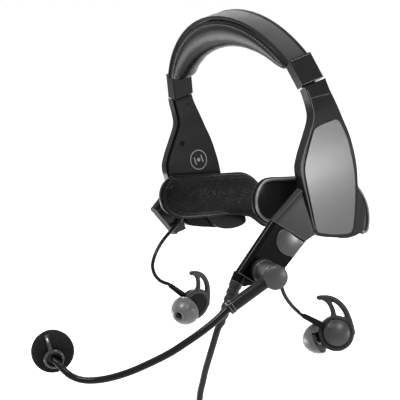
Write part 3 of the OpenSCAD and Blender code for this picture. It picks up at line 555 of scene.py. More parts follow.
def face_x(surface, sign, y, z):
    """How far out a ray from the middle of the head meets a surface, or None."""
    hit = surface.ray_cast(Vector((0, y * MM, z * MM)), Vector((sign, 0, 0)))[0]
    return hit.x / MM if hit else None


def first_hit(surfaces, start, way):
    """The nearest place where a ray meets one of the surfaces, and how far off, or None."""
    hits = [surface.ray_cast(start * MM, way) for surface in surfaces]
    hits = [hit for hit in hits if hit[0] is not None]
    if not hits:
        return None
    place, _, _, distance = min(hits, key=lambda hit: hit[3])
    return place / MM, distance / MM


def merged(node):
    """A node's loose triangles with their corners merged."""
    bm = bmesh.new()
    bm.from_mesh(NODES[node].data)
    bmesh.ops.remove_doubles(bm, verts=bm.verts, dist=MERGE * MM)
    return bm


def copy_of(node, name, finish):
    """A merged copy of a node, as the start of its own piece."""
    mesh = mesh_from(merged(node), name, made_here=False)
    return put(mesh, name, body_of(node), finish)


def soften(node, finish, width):
    """A copy of a rigid node with its edges rounded, standing for it."""
    bm = merged(node)
    bmesh.ops.dissolve_limit(bm, angle_limit=math.radians(FLAT_ANGLE), verts=bm.verts,
                             edges=bm.edges)
    mesh = mesh_from(bm, node + "_finish", made_here=False)
    piece = put(mesh, node + "_finish", body_of(node), finish)
    bevel = piece.modifiers.new("edges", "BEVEL")
    bevel.width, bevel.segments = width * MM, EDGE_STEPS
    bevel.limit_method, bevel.angle_limit = "ANGLE", math.radians(EDGE_ANGLE)
    bevel.use_clamp_overlap = True
    bevel.miter_outer = "MITER_ARC"
    smooth_shaded(applied(piece), SMOOTH_ANGLE)
    even = piece.modifiers.new("even", "WEIGHTED_NORMAL")
    even.keep_sharp = True
    applied(piece)
    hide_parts(node)
    return piece


# ---------------------------------------------------------------- strands and stitches

GEOMETRY = "NodeSocketGeometry"
STITCH_PITCH = 2.6
STITCH_LENGTH = 1.8
STITCH_THICK = 0.42


def geometry_tree(name, inputs):
    inputs = (("Geometry", GEOMETRY, None), *inputs, ("Material", "NodeSocketMaterial", None))
    return new_group(name, "GeometryNodeTree", inputs, (("Geometry", GEOMETRY),))


def finished_tree(wire, given, result, geometry):
    """Every tree ends in real geometry with its material."""
    real = wire.node("GeometryNodeRealizeInstances", {0: geometry})
    paint = wire.node("GeometryNodeSetMaterial", {"Geometry": real.outputs[0],
                                                  "Material": given["Material"]})
    wire.feed(result[0], paint.outputs[0])
    return wire.tree


def strand_tree():
    """A round strand along a path of edges."""
    wire, given, result = geometry_tree("round_strand", (
        ("Radius", "NodeSocketFloat", 0.001), ("Sides", "NodeSocketInt", 12)))
    curve = wire.node("GeometryNodeMeshToCurve", {0: given["Geometry"]})
    ring = wire.node("GeometryNodeCurvePrimitiveCircle", {"Radius": given["Radius"],
                                                          "Resolution": given["Sides"]})
    skin = wire.node("GeometryNodeCurveToMesh", {
        "Curve": curve.outputs[0], "Profile Curve": ring.outputs[0], "Fill Caps": True})
    smooth = wire.node("GeometryNodeSetShadeSmooth", {"Geometry": skin.outputs[0]})
    return finished_tree(wire, given, result, smooth.outputs[0])


def stitch_tree():
    """Short rounded stitches laid end to end along a path of edges."""
    wire, given, result = geometry_tree("stitch_row", (
        ("Pitch", "NodeSocketFloat", 0.003), ("Length", "NodeSocketFloat", 0.002),
        ("Thickness", "NodeSocketFloat", 0.0004)))
    curve = wire.node("GeometryNodeMeshToCurve", {0: given["Geometry"]})
    even = wire.node("GeometryNodeResampleCurve", {"Curve": curve.outputs[0],
                                                   "Length": given["Pitch"]}, mode="LENGTH")
    bead = wire.node("GeometryNodeMeshUVSphere", {"Segments": 8, "Rings": 6, "Radius": 0.5})
    size = wire.node("ShaderNodeCombineXYZ", {"X": given["Thickness"], "Y": given["Thickness"],
                                              "Z": given["Length"]})
    tangent = wire.node("GeometryNodeInputTangent").outputs[0]
    way = wire.node("FunctionNodeAlignEulerToVector", {"Vector": tangent}, axis="Z")
    place = wire.node("GeometryNodeInstanceOnPoints", {
        "Points": even.outputs[0], "Instance": bead.outputs["Mesh"],
        "Rotation": way.outputs[0], "Scale": size.outputs[0]})
    return finished_tree(wire, given, result, place.outputs[0])


TREES = {"strand": strand_tree(), "stitches": stitch_tree()}


def grow(name, tree, points, body, finish, slot, closed=False, **values):
    """A piece that a geometry tree grows along a path, as a plain mesh."""
    mesh = bpy.data.meshes.new(name)
    count = len(points)
    edges = [(i, (i + 1) % count) for i in range(count if closed else count - 1)]
    mesh.from_pydata([tuple(Vector(p) * MM) for p in points], edges, [])
    thing = bpy.data.objects.new(name, mesh)
    bpy.context.scene.collection.objects.link(thing)
    modifier = thing.modifiers.new("grow", "NODES")
    modifier.node_group = TREES[tree]
    values["Material"] = FINISHES[finish]
    for item in TREES[tree].interface.items_tree:
        if item.in_out == "INPUT" and item.name in values:
            modifier[item.identifier] = values[item.name]
    applied(thing)
    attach(thing, body)
    return thing


def strand(name, points, radius, body, finish, slot, sides=8, closed=False):
    return grow(name, "strand", points, body, finish, slot, closed, Radius=radius * MM,
                Sides=sides)


def stitches(name, points, body):
    row = grow(name, "stitches", points, body, "thread", "strap_fabric",
               Pitch=STITCH_PITCH * MM, Length=STITCH_LENGTH * MM, Thickness=STITCH_THICK * MM)
    row.data.shade_smooth()


# ---------------------------------------------------------------- main cord and ear leads

CORD_D = 4.5
LEAD_D = 2.8
CORD_START = Vector((69.8156, -120.25, -162.782))
CORD_WAY = Vector((-0.0843221, -0.686748, -0.721988))
CORD_RUN = [(67.5, -125.5, -171), (65.5, -129.2, -177.5), (62.5, -132, -184),
            (59.5, -134.6, -190.5), (57, -137, -197), (54.5, -139.6, -203.5),
            (52.7, -141.6, -210), (51.4, -143, -216), (50.2, -144.6, -222),
            (47.6, -146.4, -228), (43.4, -147.8, -232.2), (38.2, -148.5, -235.8)]
COIL_AT = Vector((50, -144, -266))
COIL_R = 27.0
COIL_STEP = 4.58
COIL_TURNS = 8
# Places of the turns in the bundle's section, as steps outward and steps back
BUNDLE = [(1, -1), (0, -1), (-1, -1), (-1, 0), (-1, 1), (0, 1), (0, 0), (1, 0), (1, 1)]
# Degrees round the coil: between its points, where a turn's move to its next place begins
# and how long it lasts, from one turn's move to another's, and where the cord joins
COIL_EVERY = 12
MOVE_FIRST = 8
MOVE_ARC = 24
MOVE_EVERY = 32
COIL_JOIN = (126, 144, 162)
PLUG_DROP = 17
PLUG_BEND = 8
LEADS = {
    "left": [(75.0246, -40.0804, -126.547), (74.7654, -42.1917, -127.281), (72, -45, -130),
             (70, -51, -139), (67.5, -56, -149), (65, -58.6, -157.5), (62.5, -58, -164.5),
             (59.5, -54.6, -173), (56, -49, -182), (53, -43.6, -188.8),
             (48.8388, -39.5519, -192.808), (49.8908, -38.3141, -194.365)],
    "right": [(75.0246, -40.0804, -126.547), (74.7654, -42.1917, -127.281),
              (71.5, -46, -128.2), (70, -53.5, -130.4), (69, -60, -132.6), (68, -67, -136),
              (67, -74, -141), (66.3, -79, -147.2), (65.5, -80.2, -154),
              (64.5, -77.6, -160.8), (62.8012, -72.8564, -165.34),
              (62.8749, -71.5339, -167.159)],
}


def clamped(share):
    return min(1.0, max(0.0, share))


def on_coil(out, back, angle):
    a = math.radians(angle)
    r = COIL_R + out * COIL_STEP
    return Vector((COIL_AT.x + r * math.cos(a), COIL_AT.y + back * COIL_STEP,
                   COIL_AT.z + r * math.sin(a)))


def coil_points():
    """Turns beside and on each other; each moves one place on at an angle of its own."""
    points = []
    for turn, (a, b) in enumerate(zip(BUNDLE, BUNDLE[1:])):
        starts = (COIL_TURNS - 1 - turn) * MOVE_EVERY + MOVE_FIRST
        for angle in range(0, 360, COIL_EVERY):
            t = clamped((angle - starts) / MOVE_ARC)
            t = t * t * (3 - 2 * t)
            points.append(on_coil(a[0] + (b[0] - a[0]) * t, a[1] + (b[1] - a[1]) * t,
                                  180 + angle))
    return points


def cord_route():
    free = [CORD_START + 0.15 * CORD_WAY, CORD_START + 3 * CORD_WAY]
    free += [Vector(p) for p in CORD_RUN]
    join = [on_coil(1, -1, angle) for angle in COIL_JOIN]
    plug_end = COIL_AT + Vector((-COIL_R - COIL_STEP, COIL_STEP, -PLUG_DROP))
    out = [on_coil(1, 1, 180), plug_end + Vector((0, 0, PLUG_DROP - PLUG_BEND)), plug_end]
    return spline(free + join + coil_points() + out, 3)


def add_main_cord():
    route = cord_route()
    cord = strand("main_cord_round", route, CORD_D / 2, body_of("main_cord"), "rubber",
                  "black_rubber", 16)
    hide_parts("main_cord", "cord_coil")


def add_ear_lead(side, sign):
    node = f"ear_lead_{side}"
    route = spline([(sign * x, y, z) for x, y, z in LEADS[side]], 4)
    lead = strand(f"{node}_round", route, LEAD_D / 2, body_of(node), "gloss_rubber",
                  "black_rubber", 14)
    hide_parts(node)


# ---------------------------------------------------------------- padding

PRESSURE = 3.0
PLUMP_FRAMES = 20
PLUMP_QUALITY = 5
HELD = 1.2


def plump(thing, voxel, cap, held):
    """Inflates a closed form a little, as stuffing does. held(co) says what stays put."""
    mesh = fused(thing, voxel)
    rest = [v.co.copy() for v in mesh.vertices]
    group = thing.vertex_groups.new(name="held")
    group.add([v.index for v in mesh.vertices if held(v.co / MM)], 1.0, "REPLACE")
    cloth = thing.modifiers.new("cloth", "CLOTH")
    cloth.settings.use_pressure = True
    cloth.settings.uniform_pressure_force = PRESSURE
    cloth.settings.vertex_group_mass = "held"
    cloth.settings.effector_weights.gravity = 0
    cloth.settings.quality = PLUMP_QUALITY
    cloth.point_cache.frame_start, cloth.point_cache.frame_end = 1, PLUMP_FRAMES
    scene = bpy.context.scene
    for step in range(1, PLUMP_FRAMES + 1):
        scene.frame_set(step)
    graph = bpy.context.evaluated_depsgraph_get()
    moved = [v.co.copy() for v in thing.evaluated_get(graph).data.vertices]
    thing.modifiers.clear()
    thing.vertex_groups.clear()
    for vertex, a, b in zip(mesh.vertices, rest, moved):
        shift = b - a
        if shift.length > cap * MM:
            shift.length = cap * MM
        vertex.co = a + shift
    scene.frame_set(1)
    return finer(thing)


def bell(distance, at, width):
    return math.exp(-((distance - at) / width) ** 2)


# ---------------------------------------------------------------- temple pads

PAD_LINE = [(-58.6, -103), (-58, -108.6), (-54.6, -114), (-48, -119.4), (-38, -123.4),
            (-22, -128.4), (-8, -132.6), (2, -136), (10, -139.6), (16.4, -144.4),
            (21.6, -150.4), (25.4, -155.6), (29, -156.6), (32.4, -152.6), (35, -146.4),
            (36.2, -139), (35.4, -131), (32.4, -122.6), (27.4, -114.6), (20, -108.6),
            (8, -104.4), (-10, -98.8), (-28, -93), (-39, -89.2), (-46.6, -88.4),
            (-53.2, -91.6), (-57.2, -97)]
PAD_BACK = 59.5
PAD_WALL = 57
PAD_VOXEL = 1.3
PAD_SWELL = 0.9
PAD_SEAM_IN = 2.1
PAD_SEAM_WIDE = 0.75
PAD_SEAM_DEEP = 0.75
PAD_SEAM_R = 0.34
PAD_SEAM_PROUD = 0.12
# The face rises by the crown over its run, from a little under the frame's own face
PAD_CROWN = 0.9
PAD_CROWN_RUN = 9
PAD_LOW = 0.35
PAD_RIPPLE = 0.22
PAD_CREASE = 0.18
PAD_CREASE_RUN = 8
CARRIER_BACK = 61.7
# Loops round each pad: name, place outward, inset, radius, finish, slot; the light lip on the
# carrier's edge is a painted highlight
PAD_LOOPS = (("pad_piping", PAD_BACK - 0.75, -0.15, 0.72, "piping", "leatherette"),
             ("carrier_highlight_lip", CARRIER_BACK, 0.75, 0.85, "lip", "satin_black"))


def pad_outline(inset):
    """The pad's outline drawn inward, as (0, y, z) points."""
    line = spline([(0, y, z) for y, z in PAD_LINE], 6, closed=True)
    out = []
    for before, p, after in zip(line[-1:] + line, line, line[1:] + line[:1]):
        along = (after - before).normalized()
        out.append(p + inset * Vector((0, -along.z, along.y)))
    return out


def line_distance(points):
    """A function that gives the distance from (y, z) to a closed outline."""
    corners = [(p.y, p.z) for p in points]

    def distance(y, z):
        best = []
        for (ay, az), (by, bz) in zip(corners, corners[1:] + corners[:1]):
            dy, dz = by - ay, bz - az
            t = clamped(((y - ay) * dy + (z - az) * dz) / (dy * dy + dz * dz))
            best.append((y - ay - t * dy) ** 2 + (z - az - t * dz) ** 2)
        return math.sqrt(min(best))

    return distance


def pad_sink(y, z, edge, sign):
    """How far the pad's face stands back, edge millimetres in from its outline."""
    seam = PAD_SEAM_DEEP * bell(edge, PAD_SEAM_IN, PAD_SEAM_WIDE)
    crown = PAD_CROWN * (1 - bell(edge, 0, PAD_CROWN_RUN)) - PAD_LOW
    ripple = PAD_RIPPLE * noise.noise(Vector((y, z, sign * 7)) * 0.16)
    crease = PAD_CREASE * noise.noise(Vector((y, z, 3)) * 0.5) * bell(edge, 0, PAD_CREASE_RUN)
    return seam - crown + ripple + crease


def add_pad(side, sign):
    node = f"pad_cushion_{side}"
    pad = copy_of(node, f"temple_pad_{side}", "leather")
    mesh = plump(pad, PAD_VOXEL, PAD_SWELL, lambda p: abs(p.x) > PAD_BACK - HELD)
    away = line_distance(pad_outline(0)[::3])
    for vertex in mesh.vertices:
        x, y, z = vertex.co / MM
        if abs(x) <= PAD_WALL:
            vertex.co.x += sign * MM * pad_sink(y, z, away(y, z), sign)
    mesh.shade_smooth()
    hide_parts(node)
    surface = surface_of(mesh)
    body = body_of(node)
    line = [(face_x(surface, sign, p.y, p.z), p.y, p.z) for p in pad_outline(PAD_SEAM_IN)]
    seam = [Vector((x + sign * PAD_SEAM_PROUD, y, z)) for x, y, z in line if x is not None]
    strand(f"pad_seam_{side}", seam, PAD_SEAM_R, body, "piping", "leatherette", closed=True)
    for name, x, inset, radius, finish, slot in PAD_LOOPS:
        loop = [Vector((sign * x, p.y, p.z)) for p in pad_outline(inset)]
        strand(f"{name}_{side}", loop, radius, body, finish, slot, 10, closed=True)


# ---------------------------------------------------------------- headband

BAND_Z = -67.5
BAND_R = 90.5
BAND_W = 19.0
BAND_HALF = 56.0
BAND_STEPS = 110
CUSHION_TOP = 88.1
CUSHION_VOXEL = 1.8
CUSHION_SWELL = 0.8
CUSHION_FULL = 1.9
CUSHION_DEEP = 9.0
CUSHION_FLANK = 7
SEAM_UNDER = 4.2
SEAM_WIDE = 0.7
SEAM_PULL = 0.55
SEAM_R = 0.3
STITCHES_UNDER = 3.2
PUCKER = 0.45
UNEVEN = 0.25
# Degrees from the crown where the puckers begin, and over which they grow
PUCKER_FROM = 45
PUCKER_RUN = 11
PIPING_R = {"front": 1.05, "rear": 2.2}
FABRIC_EDGES = (-9.0, 6.6)
FABRIC_PROUD = 0.15
FABRIC_CROWN = 0.45
FABRIC_WAVE = 0.12
FABRIC_ACROSS = 12
FABRIC_ALONG = 112
THREAD_PITCH = 0.62


def band_point(angle, radius, across):
    a = math.radians(angle)
    return Vector((radius * math.sin(a), across, BAND_Z + radius * math.cos(a)))


def band_steps(count, half=BAND_HALF):
    return [half * (2 * i / count - 1) for i in range(count + 1)]


def band_radius(p):
    return math.hypot(p.x, p.z - BAND_Z)


def cushion_shift(p):
    """The seams' pull, puckers by the ends, slow unevenness and the filling underneath."""
    radius = band_radius(p)
    depth = CUSHION_TOP - radius
    angle = math.degrees(math.atan2(p.x, p.z - BAND_Z))
    inward = Vector((p.x / radius, 0, (p.z - BAND_Z) / radius)) * -1
    flank = Vector((0, math.copysign(1, p.y), 0))
    pull = -SEAM_PULL * bell(depth, SEAM_UNDER, SEAM_WIDE) if abs(p.y) > CUSHION_FLANK else 0.0
    near_end = max(0.0, (abs(angle) - PUCKER_FROM) / PUCKER_RUN)
    pucker = PUCKER * near_end * noise.noise(Vector((angle * 1.3, p.y * 0.25, depth * 0.5)))
    soft = UNEVEN * noise.noise(Vector((angle * 0.12, p.y * 0.06, depth * 0.12)))
    full = CUSHION_FULL * math.cos(math.radians(min(90, abs(angle) * 1.7))) ** 0.7
    deep = clamped(depth / CUSHION_DEEP) ** 1.5
    return (flank * (pull + 0.5 * pucker)
            + inward * ((soft + pucker) * clamped(depth / 3) + full * deep))


def flank_line(surface, way, depth, end, proud):
    """A line along one flank of the cushion, depth under its top, that stops before its ends."""
    line = []
    for angle in band_steps(BAND_STEPS, BAND_HALF - end):
        start = band_point(angle, CUSHION_TOP - depth, way * 30) * MM
        hit = surface.ray_cast(start, Vector((0, -way, 0)))[0]
        if hit:
            line.append(hit / MM + Vector((0, way * proud, 0)))
    return line


def add_band_cushion():
    cushion = copy_of("headband_cushion", "band_cushion", "band_leather")
    mesh = plump(cushion, CUSHION_VOXEL, CUSHION_SWELL,
                 lambda p: band_radius(p) > CUSHION_TOP - HELD)
    for vertex in mesh.vertices:
        vertex.co += cushion_shift(vertex.co / MM) * MM
    mesh.shade_smooth()
    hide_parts("headband_cushion")
    surface = surface_of(mesh)
    for label, way in EDGES.items():
        seam = flank_line(surface, way, SEAM_UNDER, 1.5, 0.05)
        strand(f"band_seam_{label}", seam, SEAM_R, "headband", "piping", "leatherette")
        row = flank_line(surface, way, STITCHES_UNDER, 2, 0.18)
        stitches(f"band_stitches_{label}", row, "headband")


def add_band_cover():
    """The fabric strip over the spring, a little crowned, with a piping along each edge."""
    front, rear = FABRIC_EDGES
    half, middle = (rear - front) / 2, (rear + front) / 2
    across = [middle + y for y in band_steps(FABRIC_ACROSS, half)]
    top = [(y, BAND_R + FABRIC_PROUD + FABRIC_CROWN * (1 - ((y - middle) / half) ** 2))
           for y in across]
    under = [(y, CUSHION_TOP + 0.3) for y in (rear, front)]
    rings = []
    for angle in band_steps(FABRIC_ALONG):
        lift = FABRIC_WAVE * noise.noise(Vector((angle * 0.16, 0, 1)))
        section = [(y, r + lift) for y, r in top] + under
        rings.append([band_point(angle, r, y) * MM for y, r in section])
    mesh = loft("band_cover", rings)
    layer = mesh.uv_layers.new(name="weave")
    thread = 2 * math.pi / THREAD_PITCH
    for loop in mesh.loops:
        p = mesh.vertices[loop.vertex_index].co / MM
        along = math.atan2(p.x, p.z - BAND_Z) * BAND_R
        layer.data[loop.index].uv = (along * thread, p.y * thread)
    smooth_shaded(mesh, STRIP_ANGLE)
    cover = put(mesh, "band_cover", "headband", "fabric")
    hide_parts("headband_cover")
    for label, way in EDGES.items():
        radius = PIPING_R[label]
        edge = [band_point(angle, BAND_R + 0.6 - radius, way * (BAND_W / 2 + 0.7 - radius))
                for angle in band_steps(BAND_STEPS)]
        strand(f"band_piping_{label}", edge, radius, "headband", "piping", "leatherette", 14)


CAP_LEAN = 20
CAP_PROUD = 3.6
CAP_AT = band_point(BAND_HALF, BAND_R, 0) + CAP_PROUD * Vector((
    math.cos(math.radians(CAP_LEAN)), 0, math.sin(math.radians(CAP_LEAN))))
# Painted highlights, as thin light lines on the edges of the sleeve on the band's end: height on
# it, half of their width
CAP_EDGES = {"low": (-18.25, 9.3), "high": (-0.25, 9.5)}


def add_cap_edge_highlights(side, sign):
    lean = turn_about("Y", -CAP_LEAN)
    for label, (z, half) in CAP_EDGES.items():
        line = [CAP_AT + lean @ Vector((0.06, y, z)) for y in (-half, 0, half)]
        line = [Vector((sign * p.x, p.y, p.z)) for p in line]
        # Light strands along the sleeve's edges: painted highlights
        strand(f"cap_edge_highlight_{label}_{side}", line, 0.2, "headband", "rim", "gloss_black")


# ---------------------------------------------------------------- rigid pieces


def on_both(values):
    return {f"{stem}_{side}": value for stem, value in values.items() for side in SIDES}


# The finish of each moulded piece, and how far its edges are rounded
ROUNDED = {
    **on_both({
        "end_cap": ("gloss_shell", 0.45), "arm_shell": ("gloss_shell", 0.8),
        "arm_cover": ("satin_shell", 0.5), "face_plate": ("plate", 0.3),
        "module_dock": ("satin_module", 0.35), "pad_carrier": ("carrier", 0.4),
        "pad_bracket": ("bracket", 0.4), "bud_housing": ("satin_shell", 0.3)}),
    "dock_blank": ("satin_module", 0.3), "module_body": ("gloss_module", 0.45),
    "pivot_base": ("hub_satin", 0.7), "boom_tube": ("dark_metal", 0.25),
    "boom_collar": ("dark_metal", 0.25), "mic_holder": ("holder", 0.2),
    "cable_relief": ("rubber", 0.22), "coil_tie": ("satin_shell", 0.5),
    "plug_boot": ("rubber", 0.4), "plug_barrel": ("satin_shell", 0.4),
    "plug_pin": ("brass", 0.1),
}
# Pieces that stay as the frame has them, with a finish of their own
KEPT = {
    **on_both({"slider_strip": "black_steel", "circuit_board": "board", "pad_pin": "steel",
               "cover_screws": "black_steel", "bud_driver": "steel"}),
    "headband_spring": "steel", "pivot_pin": "steel", "mic_capsule": "dark_metal",
}


def add_rigid():
    for node, finish in KEPT.items():
        for place in NODES[node].material_slots:
            place.link = "OBJECT"
            place.material = FINISHES[finish]
    return {node: soften(node, finish, width) for node, (finish, width) in ROUNDED.items()}


# ---------------------------------------------------------------- arms

START_X = 130
NECK_SEAM = [(-8.8, -42.9), (-4.4, -43.4), (0.0, -44.0), (4.4, -44.6), (8.4, -45.1)]
FRONT_RIDGE = [(-8.6, -37.0), (-8.6, -44.0), (-9.2, -52.4), (-12.2, -59.0), (-19.1, -67.0),
               (-26.2, -75.1), (-31.7, -83.5), (-33.1, -95.5), (-33.1, -108), (-33.1, -120),
               (-32.4, -128.5)]
# Lines on an arm's shell, raised and light as painted highlights: points (y, z), steps between
# them, height over the shell, radius
SHELL_LINES = {"neck_seam_highlight": (NECK_SEAM, 4, -0.06, 0.18),
               "front_ridge_highlight": (FRONT_RIDGE, 5, -0.05, 0.3)}
# Round recesses in an arm's inner cover: middle (y, z), radius, radius of the rim's wire
RECESSES = {"screw_well": ((-13.4, -71), 2.5, 0.3), "sensor_eye": ((2.35, -43.4), 0.85, 0.15)}
MARK_AT = (-3.2, -88.5)
MARK_R = 8.0
MARK_WALL = 0.75
MARK_DOT = 1.5
MARK_BARS = (-3.4, 3.4)
MARK_BAR = (0.5, 3.0)
MARK_PROUD = (-0.05, 0.06)


def add_shell_lines(side, sign):
    """Fine raised lines laid on the arm's shell along rays toward the head; their light tone is a
    painted highlight.
    """
    shell = surface_of(NODES[f"arm_shell_{side}"].data)
    way = Vector((-sign, 0, 0))
    for name, (points, steps, lift, radius) in SHELL_LINES.items():
        line = []
        for p in spline([(sign * START_X, y, z) for y, z in points], steps):
            met = first_hit([shell], p, way)
            if met:
                line.append(met[0] - way * lift)
        strand(f"{name}_{side}", line, radius, f"arm_{side}", "rim", "gloss_black")


def add_recesses(side, sign):
    arm = f"arm_{side}"
    cover = surface_of(NODES[f"arm_cover_{side}"].data)
    for name, ((y, z), radius, wire) in RECESSES.items():
        rim = [(y + radius * c, z + radius * s) for c, s in circle(40)]
        rim = [Vector((face_x(cover, sign, a, b), a, b)) for a, b in rim]
        strand(f"{name}_{side}", rim, wire, arm, "gloss_shell", "satin_black", closed=True)
        # A dark disc sunk in each recess: painted shade standing for the hollow's depth
        level = sum(p.x for p in rim) / len(rim)
        place = Matrix.Translation(Vector((level, y, z)) * MM) @ turn_about("Y", -90 * sign)
        dish = [(-0.2, 0), (-0.2, radius), (0.05, radius), (0.03, radius * 0.5), (0.02, 0)]
        turned(f"{name}_dark_{side}", dish, place, arm, "painted_hole_shade", 32)


def add_inner_mark(side, sign):
    """A plain ring with a dot and two bars, printed on the arm's inner cover."""
    cover = surface_of(NODES[f"arm_cover_{side}"].data)
    bm = bmesh.new()
    y0, z0 = MARK_AT

    def strip(inner, outer):
        """A flat print between two closed rows of (y, z) points."""
        low, high = ([[bm.verts.new(Vector((face_x(cover, sign, y, z) - sign * proud, y, z)) * MM)
                       for y, z in row] for row in (inner, outer)] for proud in MARK_PROUD)
        bridge(bm, [low[0], high[0], high[1], low[1]], "joined")

    def round_print(inner, outer, count):
        strip(*([(y0 + radius * c, z0 + radius * s) for c, s in circle(count)]
                for radius in (inner, outer)))

    def bar_print(y, wide, high):
        corners = [(-wide, -high), (wide, -high), (wide, high), (-wide, high)]
        strip(*([(y + a * share, z0 + b * share) for a, b in corners] for share in (0.1, 1)))

    round_print(MARK_R - MARK_WALL, MARK_R, 72)
    round_print(0.1, MARK_DOT, 24)
    for offset in MARK_BARS:
        bar_print(y0 + offset, *MARK_BAR)
    name = f"inner_mark_{side}"
    put(mesh_from(bm, name), name, f"arm_{side}", "print")


# ---------------------------------------------------------------- microphone module

DOCK_X = 80.0
DOCK_Y = -34
MODULE_YAW = 7
BUTTON_VOXEL = 0.3
BUTTON_FROM = 3.4
BUTTON_R = 10
BUTTON_CROWN = 0.75
BUTTON_SINK = 0.35
# Ends of each raised light line, a painted highlight along a joint, as (forward, z)
MODULE_LINES = {
    "joint": [(27.3, -110.6), (7.65, -133.1)],
    "waist": [(62.2, -134.6), (54.6, -143.2)],
    "foot": [(67.6, -137.6), (63.2, -142.6)],
}
LINE_STEPS = 40
LINE_OVER = 6
LINE_REACH = 34
UNDER_LINES = ("module_body", "module_dock_left", "latch_button", "cable_relief")


def on_plane(x, forward, z):
    """A place on the module's own plane: outward, forward and up."""
    c, s = math.cos(math.radians(MODULE_YAW)), math.sin(math.radians(MODULE_YAW))
    return Vector((DOCK_X + x * c - forward * s, DOCK_Y - x * s - forward * c, z))


def add_button():
    """The latch button with its face crowned."""
    button = copy_of("latch_button", "button_crowned", "button")
    mesh = fused(button, BUTTON_VOXEL, melts=3)
    origin = on_plane(0, 0, 0)
    out = (on_plane(1, 0, 0) - origin).normalized()
    middle = sum((v.co for v in mesh.vertices), Vector()) / len(mesh.vertices) / MM
    for vertex in mesh.vertices:
        p = vertex.co / MM
        if (p - origin).dot(out) >= BUTTON_FROM:
            flat = (p - middle) - (p - middle).dot(out) * out
            share = min(1.0, (flat.length / BUTTON_R) ** 2)
            vertex.co += out * (BUTTON_CROWN * (1 - share) - BUTTON_SINK) * MM
    mesh.shade_smooth()
    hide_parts("latch_button")


def add_module_highlight_lines():
    """Light lines laid on the module's outer face as painted highlights along its joints, each
    running on past its ends while it meets it.
    """
    surfaces = [surface_of(NODES[node].data) for node in UNDER_LINES]
    way = (on_plane(0, 0, 0) - on_plane(1, 0, 0)).normalized()
    for name, ((fa, za), (fb, zb)) in MODULE_LINES.items():
        line = []
        for t in (i / LINE_STEPS for i in range(-LINE_OVER, LINE_STEPS + LINE_OVER + 1)):
            start = on_plane(30, fa + (fb - fa) * t, za + (zb - za) * t)
            met = first_hit(surfaces, start, way)
            if met and met[1] < LINE_REACH:
                line.append(met[0])
        strand(f"module_line_{name}", line, 0.2, "arm_left", "rim", "satin_black")


# ---------------------------------------------------------------- pivot and boom

PIVOT_AT = Vector((79.0028, -80.5, -139))
PIVOT_YAW = 16.5
HUB_R = 8.2
CAP_R = 8.1
BOOM_R = 4.15
BOOM_OUT = 18.85
BOOM_DIP = 14.7
BOOM_LEN = 33.6
COLLAR_LEN = 2.2
PIVOT_OUT = Vector((math.cos(math.radians(PIVOT_YAW)), -math.sin(math.radians(PIVOT_YAW)), 0))
BOOM_DIR = Vector((
    -math.cos(math.radians(BOOM_DIP)) * math.sin(math.radians(PIVOT_YAW)),
    -math.cos(math.radians(BOOM_DIP)) * math.cos(math.radians(PIVOT_YAW)),
    -math.sin(math.radians(BOOM_DIP))))
FLEX_START = PIVOT_AT + BOOM_OUT * PIVOT_OUT + (BOOM_LEN + COLLAR_LEN) * BOOM_DIR
FLEX_BENDS = [(-3.2, -11.5, -4.4), (-7.7, -22, -8.4), (-13.2, -31.5, -11.9),
              (-19.7, -41, -15.4), (-28.2, -52, -18.4), (-37.7, -63, -20.9),
              (-47.2, -73, -21.9), (-55.2, -80.5, -21.4), (-61.2, -86, -19.4),
              (-66.4, -89.8, -15.9), (-70, -92, -11.3), (-72.6, -93.2, -6.6),
              (-74.8, -93.6, -4.8)]
FLEX_REACH = 121
FLEX_R = (2.55, 2.15)
FLEX_SIDES = 24
MIC_AT = FLEX_START + FLEX_REACH * Vector((-77, -93.4, -3.2)).normalized()
MIC_DIR = Vector((-0.89, 0.44, 0.11)).normalized()
# Profiles of (height, radius) along the pivot's axis
HUB_PROFILE = [
    (5.6, 0), (5.6, 7.5), (5.85, 7.95), (6.4, HUB_R), (7.5, HUB_R), (7.7, 8.02), (7.9, HUB_R),
    (21.35, HUB_R), (21.6, 8.0), (21.7, 7.2), (22.3, 7.2), (22.3, 0)]
CAP_PROFILE = [
    (22.35, 0), (22.35, CAP_R - 0.2), (22.5, CAP_R - 0.05), (24.0, CAP_R),
    (24.45, CAP_R - 0.15), (24.75, CAP_R - 0.5), (25.3, 6.2), (25.8, 4.6), (26.15, 2.9),
    (26.35, 1.3), (26.38, 0)]


def add_pivot():
    place = (Matrix.Translation(PIVOT_AT * MM) @ turn_about("Z", -PIVOT_YAW)
             @ turn_about("Y", 90))
    hub = turned("hub_turned", HUB_PROFILE, place, "boom", "hub_satin", 96)
    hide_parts("pivot_hub")
    disc = turned("hub_disc", CAP_PROFILE, place, "boom", "grey_cap", 96)
    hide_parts("hub_cap")
    # Two light rings at the collar's ends: painted highlights on its edges
    for i, back in enumerate((COLLAR_LEN + 0.15, -0.05)):
        ring = ring_points(FLEX_START - back * BOOM_DIR, BOOM_DIR, BOOM_R + 0.25)
        strand(f"collar_highlight_ring_{i}", ring, 0.3, "boom", "rim", "steel", 10, closed=True)


def add_gooseneck():
    route = [FLEX_START + 0.15 * BOOM_DIR, FLEX_START + 3 * BOOM_DIR]
    route += [FLEX_START + Vector(p) for p in FLEX_BENDS] + [MIC_AT - 0.25 * MIC_DIR]
    points = spline(route, 8)
    rings = []
    for i, (p, _, side, up) in enumerate(carried(points, Vector((0, 0, 1)))):
        radius = FLEX_R[0] + (FLEX_R[1] - FLEX_R[0]) * i / (len(points) - 1)
        rings.append([(p + radius * (c * side + s * up)) * MM for c, s in circle(FLEX_SIDES)])
    mesh = loft("boom_stem", rings)
    smooth_shaded(mesh, STRIP_ANGLE)
    stem = put(mesh, "boom_stem", "boom", "gloss_rubber")
    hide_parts("boom_gooseneck")


FOAM_Z = 12.58
FOAM_R = 14.3
FOAM_MOUTH = 9.0
FOAM_STEPS = 60
